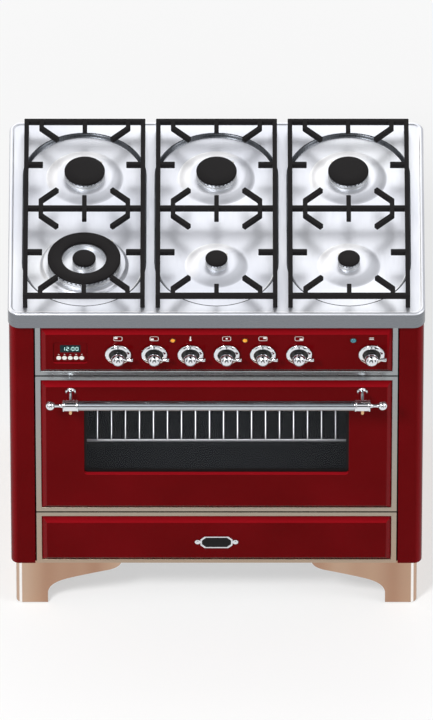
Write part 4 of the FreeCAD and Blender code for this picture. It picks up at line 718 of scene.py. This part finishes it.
def makeBurners():
    caps = []
    heads = []
    forms = {}
    for x, y, kind in burners + [(columnX[0], frontRow, "inner")]:
        size = burnerSizes[kind]
        if kind not in forms:
            forms[kind] = (makeCap(size["cap"], size["bore"]),
                           makeHead(size["cap"], size["throat"], size["slots"]))
        capForm, headForm = forms[kind]
        caps.append(copied(capForm, "cap", x, y, capZ))
        heads.append(copied(headForm, "head", x, y, domeZ))
    for pair in forms.values():
        discard(*pair)
    dress(joined("burnerCaps", caps), "body", blackEnamel, ["burner_caps"])
    dress(joined("burnerCrowns", heads), "body", castAlloy, ["burner_heads"])


def makeGrates():
    for side in ("left", "centre", "right"):
        node = "grate_" + side
        dress(copyOfNode(node, "panSupport_" + side, 1.6, 3, 32), node, castIron,
              [node])


makeHob()
makeBurners()
makeGrates()
print("hob made")


# enamelled and brushed sheet metal

panelEdge = (1.2, 3, 15, panelY + 0.2)      # radius, segments, angle and the deepest edge
sheetEdge = (0.5, 3)
stripEdge = (0.5,)
panels = (
    ("control_panel", "controlFascia", "body", redEnamel, panelEdge),
    ("door_panel", "doorSkin", "door", redEnamel, panelEdge),
    ("drawer_front", "drawerSkin", "drawer", redEnamel, panelEdge),
    ("side_panel_left", "sidePanelLeft", "body", redEnamel, sheetEdge),
    ("side_panel_right", "sidePanelRight", "body", redEnamel, sheetEdge),
    ("control_trim", "controlSurround", "body", controlSteel, stripEdge),
    ("door_trim", "doorSurround", "door", doorSteel, stripEdge),
    ("drawer_trim", "drawerSurround", "drawer", drawerSteel, stripEdge),
)


def makePanels():
    for node, name, body, material, edge in panels:
        dress(copyOfNode(node, name, *edge), body, material, [node])


# corner skirts: a folded sheet with an ogee arch between the feet

skirtSizes = {"tip": 206.6, "foot": 368.0, "outer": 437.6, "front": -253.75, "rear": 295.25,
              "corner": 14.0, "low": 2.0, "high": 130.5, "sheet": 1.5, "flange": 50.0,
              "curveSteps": 16, "straightSteps": 4}


def bezierPoints(a, b, c, d, steps):
    points = []
    for step in range(1, steps + 1):
        t = step / steps
        points.append(tuple((1 - t) ** 3 * p + 3 * (1 - t) ** 2 * t * q + 3 * (1 - t) * t * t * r
                            + t ** 3 * s for p, q, r, s in zip(a, b, c, d)))
    return points


def makeSkirt(side):
    s = skirtSizes
    foot = s["foot"]
    arch = [(s["tip"], s["high"])]
    arch += bezierPoints(arch[0], (208, 113), (222, 104.5), (243, 99.5), s["curveSteps"])
    arch += bezierPoints(arch[-1], (270, 92), (300, 84), (323, 76), s["straightSteps"])
    arch += bezierPoints(arch[-1], (349, 67), (foot, 54), (foot, 30), s["curveSteps"])
    bend = s["outer"] - s["corner"]
    outline = arch + [(foot, s["low"]), (bend, s["low"]), (bend, s["high"])]
    mesh = bmesh.new()
    front = addLoop(mesh, [(side * x, s["front"], z) for x, z in outline])
    mesh.faces.new(front)
    low, high = front[-2:]
    brim = [front[0], high]
    turns = [(bend + s["corner"] * math.sin(math.radians(a)),
              s["front"] + s["corner"] * (1 - math.cos(math.radians(a))))
             for a in range(10, 91, 10)]
    for x, y in turns + [(s["outer"], s["rear"])]:
        nextLow, nextHigh = addLoop(mesh, [(side * x, y, s["low"]), (side * x, y, s["high"])])
        mesh.faces.new((low, nextLow, nextHigh, high))
        low, high = nextLow, nextHigh
        brim.append(high)
    inside = s["outer"] - s["flange"]
    depth = s["front"] + s["flange"]
    brim += addLoop(mesh, [(side * x, y, s["high"]) for x, y in
                           ((inside, s["rear"]), (inside, depth), (s["tip"], depth))])
    mesh.faces.new(brim)
    name, node = ("skirtLeft", "plinth_left") if side < 0 else ("skirtRight", "plinth_right")
    piece = objectFrom(mesh, name, Vector((0, -1, 0)))
    applyModifier(piece, "SOLIDIFY", {"thickness": s["sheet"] * milli, "offset": -1.0})
    roundEdges(piece, 0.4, 2, 50)
    smoothFaces(piece, 30)
    levelNormals(piece)
    dress(piece, "body", skirtSteel, [node])


makePanels()
makeSkirt(-1)
makeSkirt(1)
print("panels and skirts made")


# what shows through the window: chromed racks and the black border printed on the glass

rackSizes = {"half": 334.0, "front": -205.75, "rear": 163.25, "corner": 20.0, "frame": 3.0,
             "wire": 1.6, "overhang": 2.0, "count": 22, "endGap": 14.0, "brace": 2.2,
             "braces": (-62.0, 42.0), "stopIn": 60.0, "stop": 16.5, "levels": (452.0, 554.0)}
borderSizes = {"halfX": 287.0, "low": 409.5, "high": 614.5, "front": -259.95, "sheet": 0.15,
               "margin": 4.0, "side": 6.0, "foot": 9.0, "corner": 9.0}


def bentWire(name, points, radius, closed=False):
    # a wire that follows a line of points
    data = bpy.data.curves.new(name, "CURVE")
    data.dimensions = "3D"
    data.bevel_depth = radius * milli
    data.bevel_resolution = 3
    data.use_fill_caps = True
    spline = data.splines.new("POLY")
    spline.points.add(len(points) - 1)
    for target, point in zip(spline.points, points):
        target.co = (*(Vector(point) * milli), 1)
    spline.use_cyclic_u = closed
    selectOnly(placed(name, data))
    bpy.ops.object.convert(target="MESH")
    piece = bpy.context.active_object
    openMesh(piece)
    closeSeams()
    smoothFaces(piece, 40)
    return piece


def roundedCorners(corners, radius, steps=6):
    # a closed line through the corners (a, b), each one rounded
    points = []
    count = len(corners)
    for i, corner in enumerate(corners):
        here = Vector(corner)
        before = (Vector(corners[i - 1]) - here).normalized()
        after = (Vector(corners[(i + 1) % count]) - here).normalized()
        centre = here + (before + after) * radius
        for step in range(steps + 1):
            angle = math.radians(90 * step / steps)
            points.append(centre - after * radius * math.cos(angle)
                          - before * radius * math.sin(angle))
    return points


def makeRacks():
    s = rackSizes
    half, level, wire = s["half"], s["levels"][0], s["wire"]
    corners = ((-half, s["front"]), (half, s["front"]), (half, s["rear"]), (-half, s["rear"]))
    parts = [bentWire("rackRim", [(p.x, p.y, level) for p in roundedCorners(corners, s["corner"])],
                      s["frame"], True)]
    length = s["rear"] - s["front"] + 2 * s["overhang"]
    form = lathe("rackWire", [(0, 0), (1.1, 0.2), (wire, 0.9), (wire, length - 0.9),
                              (1.1, length - 0.2), (0, length)], 12)
    moved(form, 0, s["front"] - s["overhang"], level + s["frame"] + 1.0, (-90, "X"))
    reach = half - s["endGap"]
    for i in range(s["count"]):
        parts.append(copied(form, "rackWire", -reach + 2 * reach * i / (s["count"] - 1)))
    discard(form)
    for y in s["braces"]:
        parts.append(bentWire("rackBrace", [(-half, y, level), (half, y, level)], s["brace"]))
    stopX, stopZ = half - s["stopIn"], s["stop"]
    bends = [(-stopX, 0), (-stopX, stopZ - 4), (-stopX + 1.2, stopZ - 1.2), (-stopX + 4, stopZ)]
    line = bends + [(-x, z) for x, z in reversed(bends)]
    parts.append(bentWire("rackStop", [(x, s["rear"], level + z) for x, z in line], s["brace"]))
    lower = joined("wireRackLower", parts)
    upper = copied(lower, "wireRackUpper", 0, 0, s["levels"][1] - level)
    dress(lower, "rack_lower", wireChrome, ["rack_lower"])
    dress(upper, "rack_upper", wireChrome, ["rack_upper"])


def makeBorder():
    s = borderSizes
    mesh = bmesh.new()
    corners = []
    for side, low, high in ((s["halfX"] + s["margin"], s["low"] - s["margin"],
                             s["high"] + s["margin"]),
                            (s["halfX"] - s["side"], s["low"] + s["foot"],
                             s["high"] - s["side"])):
        corners.append(((-side, low), (side, low), (side, high), (-side, high)))
    outer, inner = [roundedCorners(four, s["corner"]) for four in corners]
    loops = [addLoop(mesh, [(p.x, s["front"] + depth, p.y) for p in line]) for line, depth in
             ((outer, 0), (inner, 0), (inner, s["sheet"]), (outer, s["sheet"]))]
    skin(mesh, loops + [loops[0]])
    dress(objectFrom(mesh, "glassBorder"), "door", blackEnamel)


makeRacks()
makeBorder()
print("racks and glass border made")


# handle

handleSizes = {"half": 298.5, "radius": 11.0, "y": -312.75, "z": 663.5, "bracket": 13.5,
               "waist": 12.2, "length": 34.1, "neck": 3.5, "neckLength": 18.0, "ball": 10.2,
               "sink": 1.75, "post": 7.5, "postFoot": 11.0, "reach": 40.0}


def ballPoints(radius, centre, first, last, count=14):
    return [(radius * math.sin(math.radians(a)), centre - radius * math.cos(math.radians(a)))
            for a in [first + (last - first) * i / count for i in range(count + 1)]]


def makeHandle():
    s = handleSizes
    half, radius = s["half"], s["radius"]
    bar = lathe("handleBar", [(0, -half), (radius, -half), (radius, 0), (radius, half), (0, half)])
    moved(bar, 0, s["y"], s["z"], (90, "Y"))
    dress(bar, "door", satinBar, ["handle"])
    bracket, waist, neck, length = s["bracket"], s["waist"], s["neck"], s["length"]
    neckEnd = length + s["neckLength"]
    ballCentre = neckEnd + s["ball"] - s["sink"]
    collar = [(bracket - 0.3, 0.7), (bracket, 2.0), (bracket - 0.3, 3.3), (waist + 0.2, 4.0),
              (waist - 0.2, 5.2), (waist + 0.1, 7.0)]
    turnedForm = [(0, 0), (waist, 0)] + collar
    turnedForm += [(r, length - z) for r, z in reversed(collar)]
    turnedForm += [(waist - 0.2, length), (neck + 2.5, length + 0.6), (neck + 0.9, length + 2.5),
                   (neck + 0.1, length + 6.0), (neck, neckEnd - 4.0), (neck + 0.7, neckEnd - 1.0)]
    turnedForm += ballPoints(s["ball"], ballCentre, 26, 180)[1:]
    turnedForm[-1] = (0, ballCentre + s["ball"])
    end = lathe("handleEnd", turnedForm)
    moved(end, half, s["y"], s["z"], (90, "Y"))
    foot, stem, reach = s["postFoot"], s["post"], s["reach"]
    post = lathe("handlePost", [(0, 0), (foot - 0.6, 0), (foot, 0.8), (foot, 2.4),
                                (foot - 0.8, 3.2), (stem + 1.1, 4.6), (stem + 0.2, 7.0),
                                (stem, 10.0), (stem, reach - 4.0), (stem + 0.9, reach),
                                (0, reach)], 40)
    middle = half + length / 2
    moved(post, middle, panelY, s["z"], (90, "X"))
    finial = lathe("handleFinial", [(0, 9.5), (4.5, 10.5), (4.6, 16.0), (4.3, 17.2), (3.0, 18.4),
                                    (2.9, 19.4), (3.6, 20.8), (3.9, 22.4), (3.3, 24.4),
                                    (1.8, 25.7), (0, 26.0)], 32)
    moved(finial, middle, s["y"], s["z"], (180, "X"))
    right = joined("handleBracketRight", [end, post, finial])
    left = copied(right, "handleBracketLeft")
    left.data.transform(Matrix.Scale(-1, 4, (1, 0, 0)))
    left.data.flip_normals()
    for piece in (right, left):
        dress(piece, "door", handleChrome)


makeHandle()
print("handle made")


# knobs, rings and lamps

knobSizes = {"ball": 14.7, "out": 20.0, "collar": 17.2, "lever": 3.1, "tip": 4.6, "reach": 32.5}
ringSizes = {"bore": 18.0, "radius": 28.4, "height": 9.0, "dot": 1.9, "dotOut": 8.1, "dotUp": 24.2,
             "dotLean": 17}
lampZ = 817.6
lampSizes = ((-94.4, 7.0, amberLens), (61.6, 7.0, amberLens), (295.4, 8.0, tealLens))


def makeKnobs():
    s = knobSizes
    rim, lever, tip, reach = s["collar"], s["lever"], s["tip"], s["reach"]
    collar = lathe("collarForm", [(0, 1.5), (rim - 0.6, 1.5), (rim, 2.0), (rim, 3.4),
                                  (rim - 0.8, 4.2), (10.0, 5.2), (8.6, 8.5), (0, 8.5)], 40)
    moved(collar, 0, panelY, knobZ, (90, "X"))
    profile = [(0, 7.2), (7.0, 7.2)]
    profile += ballPoints(s["ball"], s["out"], 36, 180, 18)[1:]
    profile[-1] = (0, s["out"] + s["ball"])
    ball = lathe("knobBall", profile)
    moved(ball, 0, panelY, knobZ, (90, "X"))
    stick = lathe("knobLever", [(0, 8), (lever, 8), (lever - 0.1, 15), (lever, 18.5),
                                (lever + 0.5, 22.0), (tip - 0.4, 25.0), (tip, 28.0),
                                (tip, reach - 2.3), (tip - 0.4, reach - 0.9),
                                (tip - 1.4, reach - 0.2), (0, reach)], 32)
    moved(stick, 0, panelY - s["out"], knobZ, (90, "Y"))
    knob = joined("knobForm", [ball, stick])
    for number, x in enumerate(knobX, 1):
        body = "knob_%d" % number
        dress(copied(knob, "leverKnob_%d" % number, x), body, knobChrome, [body])
        dress(copied(collar, "knobCollar_%d" % number, x), body, blackPlastic)
    discard(knob, collar)


def makeRings():
    s = ringSizes
    bore, rim, top, spot = s["bore"], s["radius"], s["height"], s["dot"]
    profile = [(bore, 0), (rim - 0.4, 0), (rim, 0.6), (rim, 4.6), (rim - 0.3, 5.8),
               (rim - 1.2, 6.9), (rim - 2.4, 7.5), (rim - 5, 8.3), (bore + 3.6, top - 0.2),
               (bore + 3, top), (bore + 2.3, top - 0.2), (bore + 1.6, top - 1),
               (bore + 0.4, 5.2), (bore, 4.2)]
    ring = lathe("ringForm", profile, 64, closed=True)
    moved(ring, 0, panelY, knobZ, (90, "X"))
    dot = lathe("dotForm", [(0, -0.6), (spot, -0.6), (spot, 0.15), (spot - 0.3, 0.4), (0, 0.5)], 20)
    moved(dot, 0, panelY - s["dotOut"], knobZ + s["dotUp"], (90 - s["dotLean"], "X"))
    rings = [copied(ring, "ring", x) for x in knobX]
    dots = [copied(dot, "dot", x) for x in knobX]
    discard(ring, dot)
    dress(joined("knobRings", rings), "body", knobChrome, ["knob_bezels"])
    dress(joined("ringDots", dots), "body", blackPlastic)


def makeJewels():
    rims = []
    for number, (x, radius, material) in enumerate(lampSizes, 1):
        body = radius - 1.9
        profile = [(0, -14), (body, -14), (body, 1.2), (body - 0.3, 2.0), (body - 1.0, 2.9),
                   (body * 0.55, 3.7), (0, 4.0)]
        lens = lathe("signalLens_%d" % number, profile, 36)
        moved(lens, x, panelY, lampZ, (90, "X"))
        dress(lens, "body", material, ["indicator_lamps"] if number == 1 else ())
        rim = lathe("rim", [(body + 0.05, -0.5), (radius - 0.3, -0.5), (radius, 0), (radius, 0.9),
                            (radius - 0.5, 1.6), (body + 0.5, 1.8), (body + 0.05, 1.3)], 36, True)
        rims.append(moved(rim, x, panelY, lampZ, (90, "X")))
    dress(joined("signalRims", rims), "body", jewelRim)


makeKnobs()
makeRings()
makeJewels()
print("knobs and lamps made")


# clock

clockSizes = {"x": -315.8, "z": 779.0, "face": panelY + 3.0, "windowZ": 788.9, "halfWide": 22.2,
              "halfTall": 11.0, "time": "1200", "digitX": (-14.5, -6.0, 6.0, 14.5), "key": 5.25,
              "keyPitch": 12.4, "keyDrop": 17.6, "markDrop": 7.7, "markHalf": 1.9,
              "markThin": 0.35}
digitShapes = {"0": "abcdef", "1": "bc", "2": "abged"}
bars = {"a": (0, 5, 1.9, 0.55), "g": (0, 0, 1.9, 0.55), "d": (0, -5, 1.9, 0.55),
        "f": (-2.4, 2.5, 0.55, 2.0), "b": (2.4, 2.5, 0.55, 2.0),
        "e": (-2.4, -2.5, 0.55, 2.0), "c": (2.4, -2.5, 0.55, 2.0)}   # middle and half sizes


def makeClock():
    s = clockSizes
    face = s["face"]
    pocket = copyOfNode("clock_module", "clockPocket", 0.4, 3)
    dress(pocket, "body", redEnamel, ["clock_module"])
    window = tile("clockWindow", s["x"], s["windowZ"], s["halfWide"], s["halfTall"], face - 0.5,
                  face + 1.05, 0.4, 2)
    dress(window, "body", displayGlass)
    strokes = [(place + x, z, wide, tall) for place, digit in zip(s["digitX"], s["time"])
               for x, z, wide, tall in [bars[letter] for letter in digitShapes[digit]]]
    strokes += [(0, -2.4, 0.6, 0.6), (0, 2.4, 0.6, 0.6)]   # the colon
    segments = [tile("segment", s["x"] + x, s["windowZ"] + z, wide, tall, face - 0.65, face - 0.4,
                     0.1) for x, z, wide, tall in strokes]
    dress(joined("clockDigits", segments), "body", litSegment)
    key = s["key"]
    button = lathe("buttonForm", [(0, -4.0), (key, -4.0), (key, 0.9), (key - 0.35, 1.3),
                                  (key - 1.05, 1.5), (2.0, 1.25), (0, 1.15)], 32)
    moved(button, 0, face, s["z"] - s["keyDrop"], (90, "X"))
    keyX = [s["x"] + s["keyPitch"] * place for place in (-2, -1, 0, 1, 2)]
    for number, x in enumerate(keyX, 1):
        body = "clock_button_%d" % number
        dress(copied(button, "clockKey_%d" % number, x), body, whitePlastic,
              [body])
    discard(button)
    # a minus over the middle button and a plus over the others
    z, half, thin = s["z"] - s["markDrop"], s["markHalf"], s["markThin"]
    marks = []
    for x in keyX:
        marks.append(tile("mark", x, z, half, thin, face - 0.08, face + 0.1, 0.04))
        if x != s["x"]:
            marks.append(tile("mark", x, z, thin, half, face - 0.09, face + 0.1, 0.04))
    dress(joined("clockMarks", marks), "body", printWhite)


makeClock()
print("clock made")


# printed signs above the knobs: a square hob with the burner that the knob serves

signSizes = {"z": 822.0, "halfWide": 9.4, "halfTall": 6.5, "corner": 3.6, "line": 1.9,
             "proud": 0.13, "sunk": 0.3, "squareX": 4.3, "squareZ": 2.0, "disc": 2.4}


def makeSigns():
    s = signSizes
    strokes = []

    def plate(x, z, halfX, halfZ, corner):
        piece = tile("stroke", x, z, halfX, halfZ, panelY - s["proud"], panelY + s["sunk"])
        openMesh(piece)
        pick(piece, "edges", lambda edge: abs((edge.verts[0].co - edge.verts[1].co).y)
             > 0.9 * edge.calc_length())
        bpy.ops.mesh.bevel(offset=corner * milli, segments=4, affect="EDGES")
        bpy.ops.object.mode_set(mode="OBJECT")
        strokes.append(piece)
        return piece

    def frameSign(x):
        # rounded plate, its front inset and the middle pushed back into the enamel
        piece = plate(x, s["z"], s["halfWide"], s["halfTall"], s["corner"])
        openMesh(piece)
        pick(piece, "faces", lambda face: face.normal.y < -0.9)
        bpy.ops.mesh.inset(thickness=s["line"] * milli)
        bpy.ops.transform.translate(value=(0, 0.25 * milli, 0))
        bpy.ops.object.mode_set(mode="OBJECT")

    def disc(x, z):
        radius, proud = s["disc"], s["proud"]
        piece = lathe("stroke", [(0, -s["sunk"]), (radius, -s["sunk"]), (radius, proud - 0.05),
                                 (radius - 0.1, proud), (0, proud)], 20)
        strokes.append(moved(piece, x, panelY, z, (90, "X")))

    quarters = {1: (-1, 1), 2: (-1, -1), 5: (1, 1), 6: (1, -1)}
    for number, x in enumerate(knobX, 1):
        if number in quarters:
            frameSign(x)
            right, up = quarters[number]
            plate(x + right * s["squareX"], s["z"] + up * s["squareZ"], 3.4, 2.6, 0.6)
        elif number == 4:
            frameSign(x)
            disc(x, s["z"])
        elif number == 3:
            # a thermometer
            plate(x, s["z"] + 1.25, 1.1, 5.25, 1.0)
            disc(x, s["z"] - 4.3)
        else:
            # the lower and upper heat
            for rise in (-2.2, 2.2):
                plate(x, s["z"] + rise, 4.8, 0.8, 0.3)
    dress(joined("panelSigns", strokes), "body", printWhite)


makeSigns()


# plate on the drawer

def makePlate():
    rim = copyOfNode("nameplate", "drawerPlate", 0.35)
    dress(rim, "drawer", chrome, ["nameplate"])
    rim.data.materials.append(blackEnamel)
    field = max((face for face in rim.data.polygons if face.normal.y < -0.99),
                key=lambda face: face.area)
    field.material_index = 1


makePlate()
print("signs and plate made")


# floor, light and camera: places in metres, but for the flags

floorSizes = {"radius": 150, "near": 0.9, "far": 2.6, "nearWhite": 0.5}
roomLight = 0.42
lamps = {   # place, target, size and power
    "keyLight": ((-1.7, -2.6, 4.1), (0, 0, 0.6), (0.9, 0.9), 145),
    "fillLight": ((3.5, -1.3, 3.1), (0, 0, 0.5), (1.5, 1.8), 48),
    "backLight": ((0.3, 2.7, 3.5), (0, 0, 0.9), (2.2, 1.6), 13),
    "ovenLight": ((0, -0.05, 0.63), (0, 0.05, 0.4), (0.5, 0.25), 2.4),
}
cameraSizes = {"lens": 1000, "sensor": 36, "elevation": 44.5, "distance": 43.6,
               "target": (0, 0.02, 0.475), "farthest": 400}


def raySeen(owner):
    # 1 for rays of the camera, and for those that glass passes on or that polish reflects
    rays = addNode(owner, "LightPath").outputs
    seen = rays["Is Camera Ray"]
    for kind in ("Is Transmission Ray", "Is Glossy Ray"):
        seen = addNode(owner, "Math", {"operation": "MAXIMUM"}, {0: seen, 1: rays[kind]})
    return seen


def makeFloor():
    # near the object half of what is seen of the floor is plain white and the rest takes
    # light and shadow; farther away it is all plain white
    s = floorSizes
    clearSelection()
    bpy.ops.mesh.primitive_circle_add(vertices=96, radius=s["radius"], fill_type="NGON")
    floor = bpy.context.active_object
    floor.name = "floor"
    material, place = newMaterial("paleFloor", "F7F7F7", 0.0, 0.9)
    white = addNode(material, "Emission", {"Strength": 1.0})
    reach = addNode(material, "VectorMath", {"operation": "LENGTH"}, {0: place})
    share = addNode(material, "MapRange", {"From Min": s["near"], "From Max": s["far"],
                                           "To Min": s["nearWhite"]}, {"Value": reach})
    plain = addNode(material, "Math", {"operation": "MULTIPLY"}, {0: raySeen(material), 1: share})
    nodes = material.node_tree.nodes
    mixed = addNode(material, "MixShader", {}, {0: plain, 1: nodes["Principled BSDF"], 2: white})
    connect(material, nodes["Material Output"], {"Surface": mixed})
    floor.data.materials.append(material)


def makeWorld():
    world = bpy.data.worlds.new("studio")
    bpy.context.scene.world = world
    world.use_nodes = True
    background = world.node_tree.nodes["Background"]
    background.inputs["Color"].default_value = (1, 1, 1, 1)
    strength = addNode(world, "MapRange", {"To Min": roomLight, "To Max": 1.0},
                       {"Value": raySeen(world)})
    connect(world, background, {"Strength": strength})


def makeCards():
    # black studio flags that only polished metal and enamel show
    cards = [("upperCard", (-1500, -3020, 1500), (1500, -3000, 2900)),
             ("ceilingCard", (-1100, -1900, 4000), (1100, 250, 4020))]
    for side in (-1, 1):
        near, far = sorted((side * 800, side * 1500))
        wall, back = sorted((side * 2400, side * 2420))
        cards += [("frontCard", (near, -3020, 100), (far, -3000, 1500)),
                  ("sideCard", (wall, -1700, 100), (back, -900, 2200)),
                  ("sideCard", (wall, 800, 100), (back, 1600, 2200))]
    for name, low, high in cards:
        card = block(name, low, high)
        card.data.materials.append(newMaterial(name, "0A0A0B", 0.0, 1.0)[0])
        card.visible_camera = card.visible_shadow = card.visible_diffuse = False


def makeLights():
    for name, (place, target, size, power) in lamps.items():
        data = bpy.data.lights.new(name, "AREA")
        data.shape = "RECTANGLE"
        data.size, data.size_y = size
        data.energy = power
        lamp = placed(name, data)
        lamp.location = place
        aim = Vector(target) - Vector(place)
        lamp.rotation_euler = aim.to_track_quat("-Z", "Y").to_euler()


def makeCamera():
    s = cameraSizes
    data = bpy.data.cameras.new("camera")
    data.lens = s["lens"]
    data.sensor_width = s["sensor"]
    data.clip_end = s["farthest"]
    camera = placed("camera", data)
    elevation = math.radians(s["elevation"])
    back = Vector((0, -math.cos(elevation), math.sin(elevation)))
    camera.location = Vector(s["target"]) + back * s["distance"]
    camera.rotation_euler = (-back).to_track_quat("-Z", "Y").to_euler()
    bpy.context.scene.camera = camera


makeFloor()
makeWorld()
makeCards()
makeLights()
makeCamera()
bpy.context.scene.view_settings.view_transform = "Standard"
print("stage made")
